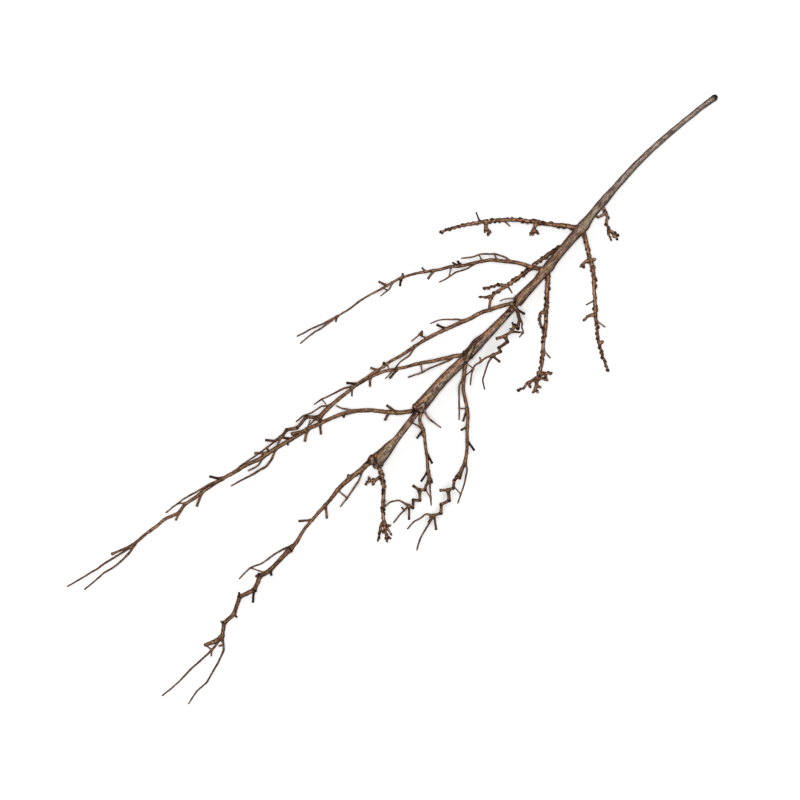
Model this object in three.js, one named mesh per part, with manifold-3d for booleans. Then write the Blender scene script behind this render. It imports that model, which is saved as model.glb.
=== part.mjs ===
import * as THREE from 'three';
import { mergeVertices } from 'three/addons/utils/BufferGeometryUtils.js';
import Module from 'manifold-3d';

// A bare forsythia branch that lies on a flat surface, in millimetres, +Z up.
// The main stem is four sleeves, each plugged into the open mouth of the one before.
// Thirteen side twigs are pushed into sockets at the nodes of the stem.
// Routes are drawn on a sheet seen from above: x to the right and y down, one step is STEP mm.

// Driving dimensions
const STEP = 1.5; // one step of the drawing sheet
const SHEET_CENTRE = [425.44, 380.49]; // the point of the sheet that becomes the origin, in steps
const SHEET_TURN = 137.6; // degrees, turns the run from cut end to tips along +X
const FIT = 0.35; // clearance round a peg in its socket
const STEM_SIDES = 12;
const TWIG_SIDES = 6;
const SOCKET_SIDES = 8;
const SOCKET_RINGS = 4; // a socket follows this many rings of its twig
const KNOBBLY_SOCKET_RINGS = 7; // the rings of a knobbly twig lie closer
const FINE_SIDES = 5; // for limbs thinner than FINE, and for knobbly ones
const FINE = 1.7;
const BUD_PITCH = 6; // distance between two buds, which stand on the two sides in turn
const BUD_STEP = 3; // distance between rings on a knobbly twig
const BUD_SWELL = 0.26; // how far a bud stands out, as a share of the radius
const BUD_SWAY = 0.3; // how far the rings swing to the two sides, as a share of the radius
const BARE = 9; // length at the root of a knobbly twig that carries no buds, its peg
const BUDS_IN = 4; // length over which the buds grow to full size after that
const MOUTH_WALL = 2.2; // thickness of the rim round the hollow at the end of a sleeve
const MOUTH_SHAPE = [[-9, 0.45], [-3.2, 0.86], [5.5, 1.08]]; // mm past the rim, share of the inner radius
const PLUG_RINGS = 3; // the part of the next sleeve that the mouth makes room for
const CAP_START = 0.15; // how far the end caps of a limb stand out, as shares of its radius
const CAP_BLUNT = 0.25;
const CAP_POINT = 0.9;
const BOSS_SIDES = 10;
const BOSS_RINGS = 6;
const GROUND_SIZE = 3000;
const GROUND_DEPTH = 50;
const STEM_ROUGHNESS = 0.8;
const TWIG_ROUGHNESS = 0.7;
const STEM_COLOURS = {
  stem_lower: 0x7d6e63, stem_second: 0x6b5546, stem_third: 0x71573f, stem_end: 0x745c4a,
};
const KNOBBLY_COLOUR = 0x7a5638;
const SMOOTH_COLOUR = 0x70503a;

// The sleeves of the stem: each point is x, y and radius in mm; high is the height of the
// centre line, spread evenly along the route.
const SLEEVES = {
  stem_lower: {
    route: [[716, 96.5, 3.6], [714, 98, 4.4], [700, 108.5, 4.2], [685, 120.5, 4.2], [670, 133, 4.3],
      [650, 151, 4.5], [630, 171, 4.9], [615, 188, 5.4], [604, 201, 6.4], [597, 209, 6], [590, 217, 6.4],
      [583, 227, 9], [577, 233, 7.4], [564, 248, 6.8], [557, 256, 6.9], [549, 266, 8], [543, 273, 6.9],
      [537, 281, 5.9], [525, 293, 7.4], [517, 302, 9]],
    high: [3.6, 4.6, 7.6, 10, 11.5, 13],
  },
  stem_second: {
    route: [[522, 297, 4.6], [510, 311, 5.2], [500, 322, 5.6], [488, 335, 6.8], [478, 345, 9.2],
      [468, 356, 9.8]],
    high: [13, 13.2, 13.5],
  },
  stem_third: {
    route: [[473, 350.5, 6.2], [460, 364, 7.4], [447, 376, 7.7], [438, 386, 7.9], [431, 394, 8.6],
      [418, 409, 10.2]],
    high: [13.5, 13.5, 13],
  },
  stem_end: {
    route: [[422, 404.5, 4.2], [412, 419, 4.6], [405, 428, 5], [396, 440, 5.4], [390, 446, 7.4],
      [383, 455, 9.7], [375, 462, 11.2]],
    high: [13, 13, 13],
  },
};

// The twigs: the first limb is the main one and starts with the peg inside the stem. high is the
// height of a limb's centre line. A limb with from starts on the limb of that number, and rise is
// counted from there; with to, it ends on that limb. radius runs from root to tip. A knobbly limb
// carries alternate buds, and an end is a fine point unless it is blunt or a flare.
const TWIGS = {
  twig_a: {
    knobbly: true,
    limbs: [
      { route: [[602.5, 205.5], [605, 212], [608, 217], [606, 223], [608, 228], [610, 231], [617, 239]],
        high: [8, 6, 4, 3], radius: [2.1, 1.2] },
      { from: 0, route: [[610, 231], [614, 233], [618, 235]], rise: [0, 2], radius: [1.2, 0.9] },
      { from: 0, route: [[607, 229], [608, 234], [611, 240]], rise: [0, -1], radius: [1.2, 0.9] },
      { from: 0, route: [[605, 213], [600, 217.5], [597, 217]], rise: [0, 2], radius: [1.4, 1] },
    ],
  },
  twig_b: {
    knobbly: true,
    limbs: [
      { route: [[580.5, 227.5], [577, 228], [565, 226], [555, 225], [545, 224], [535, 222], [525, 221],
        [515, 220], [505, 220], [495, 220.5], [485, 221.5], [475, 223.5], [465, 225], [455, 227.5],
        [447, 229.5], [441, 232]], high: [10, 10, 8, 4.5, 1.4], radius: [3.1, 2.7, 2.4, 2.1, 1.6] },
      { from: 0, route: [[537, 223], [534, 228], [533, 234]], rise: [0, 2], radius: [1.9, 1.3] },
      { from: 0, route: [[504, 221], [510, 226.5]], rise: [0, -1], radius: [1.1, 0.8], blunt: true },
      { from: 0, route: [[486, 222], [486, 226], [485, 231]], rise: [0, 2], radius: [1.7, 1.3] },
      { from: 3, route: [[486, 228], [490, 232]], rise: [0, 1], radius: [1.3, 1] },
      { from: 0, route: [[480, 222], [476, 212.5]], rise: [0, 4], radius: [1.1, 0.8], blunt: true },
    ],
  },
  twig_c: {
    knobbly: true,
    limbs: [
      { route: [[583.5, 231.5], [586, 243], [588, 250], [589, 257], [593, 270], [594, 280], [594, 290],
        [595, 300], [595, 310], [596, 320], [597, 330], [598, 340], [600, 347], [602, 355], [604, 361],
        [608, 370]], high: [10, 9, 7, 4, 1.4], radius: [2.9, 2.5, 2.2, 1.9, 1.5] },
      { from: 0, route: [[590, 261], [586, 261], [581, 266]], rise: [0, 2], radius: [1.7, 1.2] },
      { from: 0, route: [[595, 300], [586, 305]], rise: [0, 4], radius: [1.1, 0.8], blunt: true },
      { from: 0, route: [[595, 315], [589, 315], [584, 320]], rise: [0, 2], radius: [1.6, 1.1] },
      { from: 0, route: [[597, 321], [605, 327]], rise: [0, 2], radius: [1.1, 0.8], blunt: true },
    ],
  },
  twig_d: {
    knobbly: true,
    limbs: [
      { route: [[564, 246.5], [560, 246.5], [548, 255], [541, 260], [535, 264], [529, 270], [522, 275],
        [515, 280], [505, 287], [495, 293], [491, 297]], high: [8, 6, 4, 3.5], radius: [2.6, 2.4, 1.9] },
      { from: 0, route: [[491, 296], [487, 297], [480, 297]], rise: [0, 1], radius: [1.5, 1] },
      { from: 0, route: [[491, 296], [490, 302], [489, 309]], rise: [0, 0], radius: [1.5, 1] },
      { from: 0, route: [[506, 286], [498, 284.5], [489, 288], [484, 288]], rise: [0, 2],
        radius: [1.5, 1] },
      { from: 0, route: [[507, 285], [512, 293]], rise: [0, 2], radius: [1.1, 0.8], blunt: true },
    ],
  },
  twig_e: {
    knobbly: true,
    limbs: [
      { route: [[548, 271], [548, 280], [547, 290], [547, 300], [546, 310], [546, 320], [545, 330],
        [543, 345], [542, 364], [537, 380]], high: [9, 8, 6, 5, 4.5], radius: [2.9, 2.6, 2.3, 1.9] },
      { from: 0, route: [[546, 312], [541, 312], [539, 315], [541, 327]], rise: [0, 3, 3],
        radius: [1.6, 1.1] },
      { from: 0, route: [[543, 350], [550, 358]], rise: [0, 2], radius: [1.1, 0.8], blunt: true },
      { from: 0, route: [[540, 375], [545, 373.5], [551, 373]], rise: [0, 2], radius: [1.6, 1.1] },
      { from: 0, route: [[538, 379], [544, 378], [547, 380]], rise: [0, 0], radius: [1.4, 1] },
      { from: 0, route: [[538, 378], [531, 381], [525, 384], [526, 387], [518, 390]], rise: [0, 1, -1],
        radius: [1.7, 1] },
      { from: 0, route: [[537, 379], [536, 388], [533, 392]], rise: [0, -1.5], radius: [1.6, 1.1] },
    ],
  },
  twig_f: {
    knobbly: true,
    limbs: [
      { route: [[378, 462.5], [379, 467], [381, 472], [384, 485], [384, 492], [383, 499], [383, 512],
        [384, 523]], high: [10, 8, 5, 3.5], radius: [2.7, 2.3, 1.9] },
      { from: 0, route: [[384, 522], [380, 526], [380, 531], [378, 540]], rise: [0, -1],
        radius: [1.6, 1] },
      { from: 0, route: [[384, 521], [385, 530], [387, 541]], rise: [0, 2], radius: [1.7, 1] },
      { from: 0, route: [[384, 523], [388, 529], [391, 534]], rise: [0, -1], radius: [1.4, 1] },
      { from: 0, route: [[382, 476], [376, 479], [373, 484]], rise: [0, 2], radius: [1.6, 1.1] },
      { from: 4, route: [[376, 479.5], [369, 481], [366, 484]], rise: [0, 1], radius: [1.3, 1] },
    ],
  },
  twig_g: {
    limbs: [
      { route: [[544.5, 268.5], [535, 268.5], [526, 265.5], [518, 263], [500, 261], [490, 260], [480, 262],
        [463, 266], [450, 267], [440, 270], [425, 272], [413, 274.5], [400, 278.5], [390, 284],
        [380, 290], [370, 295], [360, 301], [350, 309], [335, 318]],
      high: [15, 18, 28, 34, 32, 25, 18], radius: [3, 2.6, 2.3, 1.9, 1.6, 1.3] },
      { from: 0, route: [[337, 317], [320, 325], [310, 330], [298, 336]], rise: [0, 1],
        radius: [1.2, 0.9] },
      { from: 0, route: [[338, 316], [325, 326], [315, 332], [301, 343]], rise: [0, -4],
        radius: [1.2, 0.9] },
      { from: 0, route: [[510, 262], [505, 257], [495, 254], [480, 254.5], [473, 257.5], [462, 258.5]],
        rise: [0, 3, 2], radius: [1.2, 0.9] },
      { from: 0, to: 3, route: [[497, 260], [494, 254]], radius: [0.9, 0.8] },
      { from: 0, to: 3, route: [[482, 261], [479, 255]], radius: [0.9, 0.8] },
      { from: 0, route: [[461, 266], [457.5, 261.5]], rise: [0, 2], radius: [1.6, 1.3], blunt: true },
      { from: 0, route: [[458, 266.5], [452.5, 263]], rise: [0, 3], radius: [1.4, 1.2], blunt: true },
      { from: 0, route: [[475, 264], [468, 268.5], [456, 272.5], [447, 278.5], [440, 282]],
        rise: [0, -2, 0], radius: [1.1, 0.9] },
      { from: 0, to: 8, route: [[451, 268], [449, 277]], radius: [0.9, 0.8] },
      { from: 0, route: [[434, 271], [428, 279]], rise: [0, 1], radius: [1.5, 1.5], blunt: true },
      { from: 0, route: [[401, 278], [400, 286]], rise: [0, 2], radius: [1.5, 1.5], blunt: true },
      { from: 0, route: [[387, 286], [379, 282]], rise: [0, 2], radius: [1.4, 1.4], blunt: true },
      { from: 0, route: [[392, 282], [390, 289], [381, 296]], rise: [0, 2], radius: [1.1, 0.8] },
    ],
  },
  twig_h: {
    limbs: [
      { route: [[519, 299.5], [510, 303], [500, 306], [490, 310], [480, 313], [470, 319], [460, 323],
        [450, 327.5], [440, 332], [430, 337], [420, 343], [410, 349.5], [400, 356.5], [390, 361.5],
        [380, 369], [370, 375], [360, 382], [352, 388]],
      high: [22.2, 23, 25, 27, 29, 27], radius: [3.2, 3.3, 2.6, 2.2, 1.8] },
      { from: 0, route: [[354, 386.5], [345, 388], [335, 393], [322, 399], [315, 404]], rise: [0, 2],
        radius: [1.3, 0.9] },
      { from: 0, route: [[357, 384], [347, 383]], rise: [0, 2], radius: [1.5, 1.6], blunt: true },
      { from: 0, route: [[465, 321], [455, 319.5], [445, 319.5], [438, 320.5], [431, 323.5]],
        rise: [0, 2], radius: [1.1, 0.8] },
      { from: 0, route: [[446, 329.5], [437, 325]], rise: [0, 1], radius: [1.5, 1.5], blunt: true },
      { from: 0, route: [[427, 338.5], [419, 335]], rise: [0, 1], radius: [1, 0.9] },
      { from: 5, route: [[426, 325], [419, 335], [412, 341]], rise: [2, 0, -2], radius: [1.1, 0.9] },
      { from: 0, route: [[415, 346.5], [410, 355.5], [400, 362], [394, 370], [386, 378]],
        rise: [0, 0, -2], radius: [1.2, 0.8] },
      { from: 0, to: 7, route: [[387, 364], [391, 373]], radius: [0.9, 0.8] },
      { from: 0, route: [[378, 371], [371, 368]], rise: [0, 1], radius: [1.4, 1.4], blunt: true },
      { from: 0, route: [[511, 303], [514, 307], [517, 311], [518, 316], [519, 320], [518, 324],
        [517, 329]], rise: [0, 9, 30, 52], radius: [2.7, 2.4, 2.7, 3], blunt: true },
      { from: 10, route: [[516, 309], [524, 314]], rise: [0, 1], radius: [1.5, 1.5], blunt: true },
      { from: 10, route: [[519, 319], [522, 323], [521, 328], [523, 333], [519, 337]],
        rise: [0, 14, 28], radius: [1.1, 0.9] },
      { from: 10, route: [[517, 328], [514, 326], [511, 332], [504, 336.5], [496, 339]],
        rise: [0, 4, 8], radius: [1.8, 1.8, 1.7], blunt: true },
      { from: 13, to: 12, route: [[511, 332], [522, 333]], radius: [0.9, 0.9] },
      { from: 13, route: [[504, 336], [507, 342.5], [498, 348], [500, 352], [491, 356]],
        rise: [0, 2, 4], radius: [1.7, 1.5] },
      { from: 15, route: [[493, 355], [484, 359], [474, 366], [471, 373], [470, 384]],
        rise: [0, 0, -6], radius: [1.3, 0.9] },
      { from: 16, route: [[472.4, 369.6], [466, 375], [462, 378]], rise: [0, 0], radius: [1, 0.8] },
      { from: 15, route: [[491.5, 355.5], [499, 362]], rise: [0, 2], radius: [1.5, 1.5], blunt: true },
      { from: 15, route: [[493, 355], [488, 362], [484, 374], [482, 380], [484, 388.5]],
        rise: [0, -4, -12], radius: [1.3, 0.9] },
    ],
  },
  twig_j: {
    limbs: [
      { route: [[466, 355], [455, 356], [440, 359.5], [430, 361.5], [415, 364], [405, 367.5],
        [395, 369], [385, 371], [375, 375], [365, 380], [355, 386], [345, 394], [335, 402], [325, 411],
        [318, 419]], high: [17, 16, 14, 13, 13, 18, 24], radius: [3, 2.7, 2.4, 2.2, 2.6], blunt: true },
      { from: 0, route: [[453, 357], [449, 361], [440, 364], [430, 368], [422, 372.5], [409, 377]],
        rise: [0, 2, 0], radius: [1.2, 0.9] },
      { from: 0, to: 1, route: [[421, 364], [422, 372]], radius: [0.9, 0.8] },
      { from: 0, route: [[398, 369], [390, 378]], rise: [0, -2], radius: [1.5, 1.5], blunt: true },
      { from: 0, route: [[370, 377], [370, 386]], rise: [0, -2], radius: [1.5, 1.5], blunt: true },
      { from: 0, route: [[330, 406], [322, 406], [312, 412.5], [303, 416], [297, 421]],
        rise: [0, 4, 3], radius: [1.1, 0.9] },
      { from: 0, route: [[319, 418], [307, 417], [297, 428], [287, 430], [281, 438]],
        rise: [0, 3, 3], radius: [1.8, 1.8, 1.6] },
      { from: 6, to: 5, route: [[307, 417.5], [304, 415]], radius: [0.9, 0.9] },
      { from: 6, route: [[282, 436.5], [275, 441], [266, 440]], rise: [0, 1], radius: [1.6, 1.7],
        blunt: true },
      { from: 8, route: [[277, 440], [265, 449], [254, 457], [240, 466]], rise: [0, -3, -10],
        radius: [1.2, 0.9] },
      { from: 6, route: [[282, 436], [277, 446]], rise: [0, -3], radius: [1.2, 1] },
      { from: 0, route: [[319, 417], [313, 421], [311, 424]], rise: [0, -3], radius: [1.4, 1] },
    ],
  },
  twig_k: {
    limbs: [
      { route: [[466.5, 359], [464.5, 368], [464, 376], [463, 390], [466, 403], [468, 415], [467, 428],
        [467, 442], [467, 450], [465, 462], [458, 477]],
      high: [13, 14, 18, 26, 34, 40], radius: [3, 2.5, 2.4, 2.4, 2.9], blunt: true },
      { from: 0, route: [[464, 376], [459, 386], [459, 405], [459, 419]], rise: [0, 3, 4],
        radius: [1.2, 0.9] },
      { from: 0, to: 1, route: [[467, 408.5], [459, 408.5]], radius: [0.9, 0.8] },
      { from: 0, route: [[467, 409], [463, 421]], rise: [0, 1], radius: [1.5, 1.4], blunt: true },
      { from: 0, route: [[467, 427], [461, 430]], rise: [0, 3], radius: [1.4, 1.4], blunt: true },
      { from: 0, route: [[467, 441], [474, 450]], rise: [0, 2], radius: [1.5, 1.5], blunt: true },
      { from: 0, route: [[465, 461], [467, 470], [464, 484], [458, 502]], rise: [0, 3, 2],
        radius: [1.2, 0.9] },
      { from: 0, route: [[459, 475], [454, 480], [453, 488], [447, 489.5], [440, 490]],
        rise: [0, 3, 4], radius: [1.8, 1.7, 1.6], blunt: true },
      { from: 7, to: 6, route: [[453.5, 486], [461, 494]], radius: [0.9, 0.8] },
      { from: 7, route: [[448, 489], [449, 500], [441, 504], [441, 513], [432, 516]],
        rise: [0, -4, -10], radius: [1.7, 1.5] },
      { from: 9, route: [[434, 515.5], [426, 513.5], [419, 518.5], [414, 521], [408, 528]],
        rise: [0, 0, -8], radius: [1.2, 0.9] },
      { from: 9, route: [[434, 515.5], [436, 529]], rise: [0, 3], radius: [1.5, 1.6], blunt: true },
      { from: 9, route: [[434, 515.5], [426, 528], [420, 538], [417, 549]], rise: [0, -8, -18],
        radius: [1.2, 0.9] },
    ],
  },
  twig_l: {
    limbs: [
      { route: [[415, 407.5], [411.5, 410.5], [405, 412.7], [397, 413], [385, 412], [370, 410], [355, 411], [340, 414.5],
        [325, 421], [310, 428], [300, 434], [290, 440], [280, 446], [270, 452], [260, 459],
        [245, 465.5], [235, 472], [220, 480], [205, 490], [195, 498], [185, 504], [179, 513],
        [165, 518.5], [157, 526], [147, 533], [131, 547]],
      high: [20, 14, 11, 10, 9, 8, 6, 5, 4], radius: [3.2, 2.8, 2.5, 2.5, 2.3, 2, 1.8] },
      { from: 0, route: [[134, 544.5], [120, 550.5], [112, 554]], rise: [0, 2], radius: [1.6, 1.6],
        blunt: true },
      { from: 0, route: [[134, 544.5], [120, 554], [105, 563], [95, 570], [82, 578], [68, 586]],
        rise: [0, -1, -3.4], radius: [1.3, 0.9] },
      { from: 0, route: [[136, 543], [129, 554], [115, 566], [103, 574], [85, 589]],
        rise: [0, -2, -3.6], radius: [1.3, 0.9] },
      { from: 0, route: [[397, 413], [387, 405.5]], rise: [0, 2], radius: [1.6, 1.6], blunt: true },
      { from: 0, route: [[389, 412], [385, 420]], rise: [0, 0], radius: [1.5, 1.4], blunt: true },
      { from: 0, route: [[354, 411], [342, 408.5], [337, 406]], rise: [0, 2], radius: [1.2, 0.9] },
      { from: 0, route: [[320, 423], [321, 434]], rise: [0, 1], radius: [1.4, 1.4], blunt: true },
      { from: 0, route: [[307, 429.5], [305, 441]], rise: [0, 1], radius: [1.6, 1.6], blunt: true },
      { from: 0, route: [[307, 429.5], [310, 421]], rise: [0, 1], radius: [1, 0.8] },
      { from: 0, route: [[308, 429], [300, 432], [292, 434]], rise: [0, 5], radius: [1.7, 2.1],
        blunt: true },
      { from: 0, route: [[291, 439], [279, 437]], rise: [0, 3], radius: [1.5, 1.4], blunt: true },
      { from: 0, route: [[268, 453.5], [255, 453]], rise: [0, 2], radius: [1.6, 1.5], blunt: true },
      { from: 0, route: [[276, 448], [272, 459], [267, 466], [254, 474], [240, 481], [232, 485.5]],
        rise: [0, 1, -1], radius: [1.2, 1.3, 0.9] },
      { from: 0, route: [[263, 457], [259, 465], [249, 470.5]], rise: [0, 2], radius: [1.1, 0.8] },
      { from: 0, route: [[222, 479], [210, 476.5]], rise: [0, 3], radius: [1.5, 1.5], blunt: true },
      { from: 0, route: [[223, 478.5], [210, 484], [200, 489.5], [182, 500], [167, 512]],
        rise: [0, 5, 3], radius: [1.2, 0.9] },
      { from: 0, to: 16, route: [[187, 503], [177, 503]], radius: [0.9, 0.8] },
      { from: 0, route: [[202, 492], [197, 506]], rise: [0, 1], radius: [1.5, 1.5], blunt: true },
      { from: 0, route: [[180, 511], [176, 520]], rise: [0, 1], radius: [1.3, 1.3], blunt: true },
    ],
  },
  twig_m: {
    limbs: [
      { route: [[422.5, 408], [421, 413.5], [419, 420], [424, 431], [425, 443], [427, 457], [428, 470], [430, 482]],
        high: [17, 18, 22, 28, 34], radius: [2.6, 2.2, 2.2, 2.7], blunt: true },
      { from: 0, route: [[423, 429], [413, 423]], rise: [0, 3], radius: [1.2, 0.9] },
      { from: 0, route: [[423, 430], [417, 438]], rise: [0, 2], radius: [1.4, 1.4], blunt: true },
      { from: 0, route: [[427, 453], [432, 463]], rise: [0, 2], radius: [1.4, 1.4], blunt: true },
      { from: 0, route: [[428, 471], [421, 481]], rise: [0, 2], radius: [1.4, 1.4], blunt: true },
      { from: 0, route: [[430, 480], [430, 490], [431, 504]], rise: [0, 2, 4], radius: [1.2, 0.9] },
      { from: 0, route: [[430, 480], [426, 485], [425, 489.5], [419, 489.5], [413, 485.5]],
        rise: [0, 2, 3], radius: [1.7, 1.6], blunt: true },
      { from: 6, to: 5, route: [[425, 488.5], [430.5, 498]], radius: [0.9, 0.8] },
      { from: 6, route: [[419.5, 489], [420, 500], [413, 499.5], [413, 508], [406, 504]],
        rise: [0, -4, -9], radius: [1.6, 1.4] },
      { from: 8, route: [[408, 505], [399, 500], [390, 501.5], [384, 507]], rise: [0, -4, -8],
        radius: [1.2, 0.9] },
      { from: 8, route: [[409, 505.5], [409, 519]], rise: [0, 2], radius: [1.4, 1.5], blunt: true },
      { from: 8, route: [[409, 505.5], [402, 512], [394, 522]], rise: [0, -4, -10],
        radius: [1.2, 0.9] },
    ],
  },
  twig_n: {
    limbs: [
      { route: [[373, 459.5], [367, 464], [360, 471], [350, 478], [340, 487], [330, 500], [320, 511],
        [305, 528], [296, 543], [290, 549]],
      high: [14, 12, 10, 9, 8.5], radius: [3.1, 2.6, 2.2, 2.1, 2.8], blunt: true },
      { from: 0, route: [[365, 466], [358, 482], [347, 498], [341, 506]], rise: [0, 2, 1],
        radius: [1.2, 0.9] },
      { from: 0, to: 1, route: [[338, 490], [347, 498]], radius: [0.9, 0.8] },
      { from: 0, route: [[326, 506], [327, 518]], rise: [0, 1], radius: [1.5, 1.5], blunt: true },
      { from: 0, route: [[312, 520], [299, 521]], rise: [0, 2], radius: [1.4, 1.4], blunt: true },
      { from: 0, route: [[293, 546], [285, 548], [275, 554], [262, 563], [250, 568], [240, 578]],
        rise: [0, 3, 2], radius: [1.2, 0.9] },
      { from: 0, route: [[291, 548], [280, 560], [269, 571], [260, 576], [258, 582], [254, 590],
        [240, 597], [237, 605], [234, 614], [224, 623], [222, 638]], rise: [0, -1, -3, -4],
      radius: [2, 1.9, 1.7] },
      { from: 6, to: 5, route: [[266, 573], [251, 568]], radius: [0.9, 0.8] },
      { from: 6, route: [[254, 589], [253, 602]], rise: [0, 0], radius: [1.4, 1.5], blunt: true },
      { from: 6, route: [[222, 636], [216, 641], [205, 645]], rise: [0, 2], radius: [1.6, 1.9, 1.6],
        blunt: true },
      { from: 6, route: [[222, 636], [214, 648], [203, 658], [190, 670], [180, 681], [163, 695]],
        rise: [0, -1, -3.8], radius: [1.3, 0.9] },
      { from: 10, route: [[212, 650], [207, 646]], rise: [0, 1], radius: [0.9, 0.8], blunt: true },
      { from: 6, route: [[222.5, 635], [224, 650], [218, 663], [207, 682], [197, 691], [189, 703]],
        rise: [0, -2, -3.9], radius: [1.3, 0.9] },
    ],
  },
};

// Small fine limbs that grow out of a sleeve itself, and the bosses on its bark: x, y, height, radius
const SLEEVE_LIMBS = {
  stem_lower: [{ route: [[514, 298.5], [505, 299], [500, 301]], high: [20, 22, 21], radius: [1.4, 0.9] }],
  stem_third: [{ route: [[423, 401], [424, 411], [429, 419], [440, 427]], high: [20, 24, 22],
    radius: [1.8, 1.3, 0.9] }],
};
const BOSSES = {
  stem_lower: [[552.5, 270, 12, 3.4], [580, 222, 12, 3.2]],
  stem_second: [[475, 339.5, 14, 5], [472, 348, 19.5, 4]],
  stem_third: [[447, 378, 17.5, 5.2]],
  stem_end: [[371.5, 460, 18, 5.5], [381, 459, 15, 6]],
};

// Which sleeve holds which twigs, and the sleeve that plugs into its mouth
const SOCKETS = {
  stem_lower: ['twig_a', 'twig_b', 'twig_c', 'twig_d', 'twig_e', 'twig_g', 'twig_h'],
  stem_second: ['twig_h', 'twig_j', 'twig_k'],
  stem_third: ['twig_j', 'twig_k', 'twig_l', 'twig_m'],
  stem_end: ['twig_l', 'twig_m', 'twig_f', 'twig_n'],
};
const NEXT_SLEEVE = { stem_lower: 'stem_second', stem_second: 'stem_third', stem_third: 'stem_end' };

const wasm = await Module();
wasm.setup();

const up = new THREE.Vector3(0, 0, 1);

// A point of the sheet, at a height in mm, in the part's own frame
function place(x, y, height) {
  const turn = THREE.MathUtils.degToRad(SHEET_TURN);
  const flat = new THREE.Vector3((x - SHEET_CENTRE[0]) * STEP, (SHEET_CENTRE[1] - y) * STEP, height);
  return flat.applyAxisAngle(up, turn);
}

// The value at a share of the way along a list spread evenly
function along(list, share) {
  const at = Math.min(Math.max(share, 0), 1) * (list.length - 1);
  const low = Math.min(Math.floor(at), list.length - 2);
  return THREE.MathUtils.lerp(list[low], list[low + 1], at - low);
}

// How far along its length each point of a route lies, from 0 to 1
function shares(points) {
  const far = [0];
  for (let i = 1; i < points.length; i += 1) far.push(far[i - 1] + points[i].distanceTo(points[i - 1]));
  return far.map((d) => d / far[far.length - 1]);
}

// The height of a limb's centre line where it passes nearest to a point
function heightNear(line, point) {
  let best = Infinity;
  let height = 0;
  for (let i = 1; i < line.length; i += 1) {
    const start = new THREE.Vector2(line[i - 1].x, line[i - 1].y);
    const way = new THREE.Vector2(line[i].x, line[i].y).sub(start);
    const share = new THREE.Vector2(point.x, point.y).sub(start).dot(way) / way.lengthSq();
    const t = Math.min(Math.max(share, 0), 1);
    const near = start.addScaledVector(way, t);
    const apart = near.distanceTo(new THREE.Vector2(point.x, point.y));
    if (apart < best) {
      best = apart;
      height = THREE.MathUtils.lerp(line[i - 1].z, line[i].z, t);
    }
  }
  return height;
}

// The centre line of a limb, with its heights, once the limbs that it hangs on are laid
function layLine(limb, lines) {
  const points = limb.route.map(([x, y]) => place(x, y, 0));
  const share = shares(points);
  const last = points.length - 1;
  const start = limb.from === undefined ? 0 : heightNear(lines[limb.from], points[0]);
  const end = limb.to === undefined ? start : heightNear(lines[limb.to], points[last]);
  points.forEach((point, i) => {
    const own = limb.high ?? limb.rise;
    point.z = THREE.MathUtils.lerp(start, end, share[i]) + (own ? along(own, share[i]) : 0);
  });
  return points;
}

// Rings on a knobbly limb: the line is cut into short steps, swings to the two sides in turn and
// swells at each bud, after a bare stretch
function budded(line, radius, bare) {
  const curve = new THREE.CatmullRomCurve3(line, false, 'centripetal');
  const length = curve.getLength();
  const count = Math.max(3, Math.round(length / BUD_STEP));
  const rings = [];
  for (let i = 0; i <= count; i += 1) {
    const share = i / count;
    const way = curve.getTangentAt(share);
    const side = new THREE.Vector3().crossVectors(way, up).normalize();
    const phase = (share * length * Math.PI) / BUD_PITCH;
    const r = along(radius, share);
    const grown = THREE.MathUtils.clamp((share * length - bare) / BUDS_IN, 0, 1);
    const swing = Math.sin(phase) * BUD_SWAY * r * grown;
    const swell = 1 + BUD_SWELL * Math.abs(Math.sin(phase)) * grown;
    rings.push({ at: curve.getPointAt(share).addScaledVector(side, swing), r: r * swell });
  }
  return rings;
}

// A closed skin over a run of rings, with a cap point at each end
function skin(rings, sides, blunt) {
  const positions = [];
  const indices = [];
  const count = rings.length;
  rings.forEach(({ at, r }, i) => {
    const ahead = rings[Math.min(i + 1, count - 1)].at;
    const way = ahead.clone().sub(rings[Math.max(i - 1, 0)].at).normalize();
    const side = new THREE.Vector3().crossVectors(way, up).normalize();
    const top = new THREE.Vector3().crossVectors(side, way);
    for (let k = 0; k < sides; k += 1) {
      const angle = ((k + 0.5) / sides) * Math.PI * 2;
      const spot = at.clone().addScaledVector(side, Math.cos(angle) * r);
      positions.push(...spot.addScaledVector(top, Math.sin(angle) * r).toArray());
    }
  });
  const first = rings[0];
  const last = rings[count - 1];
  const startWay = first.at.clone().sub(rings[1].at).normalize();
  const endWay = last.at.clone().sub(rings[count - 2].at).normalize();
  const reach = blunt ? CAP_BLUNT : CAP_POINT;
  positions.push(...first.at.clone().addScaledVector(startWay, first.r * CAP_START).toArray());
  positions.push(...last.at.clone().addScaledVector(endWay, last.r * reach).toArray());
  const startCap = count * sides;
  const endCap = startCap + 1;
  for (let k = 0; k < sides; k += 1) {
    const next = (k + 1) % sides;
    for (let i = 0; i < count - 1; i += 1) {
      const low = i * sides;
      const high = low + sides;
      indices.push(low + k, high + k, high + next, low + k, high + next, low + next);
    }
    const end = (count - 1) * sides;
    indices.push(startCap, k, next, endCap, end + next, end + k);
  }
  return new wasm.Manifold(new wasm.Mesh({
    numProp: 3,
    vertProperties: new Float32Array(positions),
    triVerts: new Uint32Array(indices),
  }));
}

// A closed three.js geometry, moved to its place, as a solid
function solidOf(geometry, position) {
  geometry.deleteAttribute('normal');
  geometry.deleteAttribute('uv');
  geometry.translate(position.x, position.y, position.z);
  const merged = mergeVertices(geometry, 1e-4);
  return new wasm.Manifold(new wasm.Mesh({
    numProp: 3,
    vertProperties: new Float32Array(merged.attributes.position.array),
    triVerts: new Uint32Array(merged.index.array),
  }));
}

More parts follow.
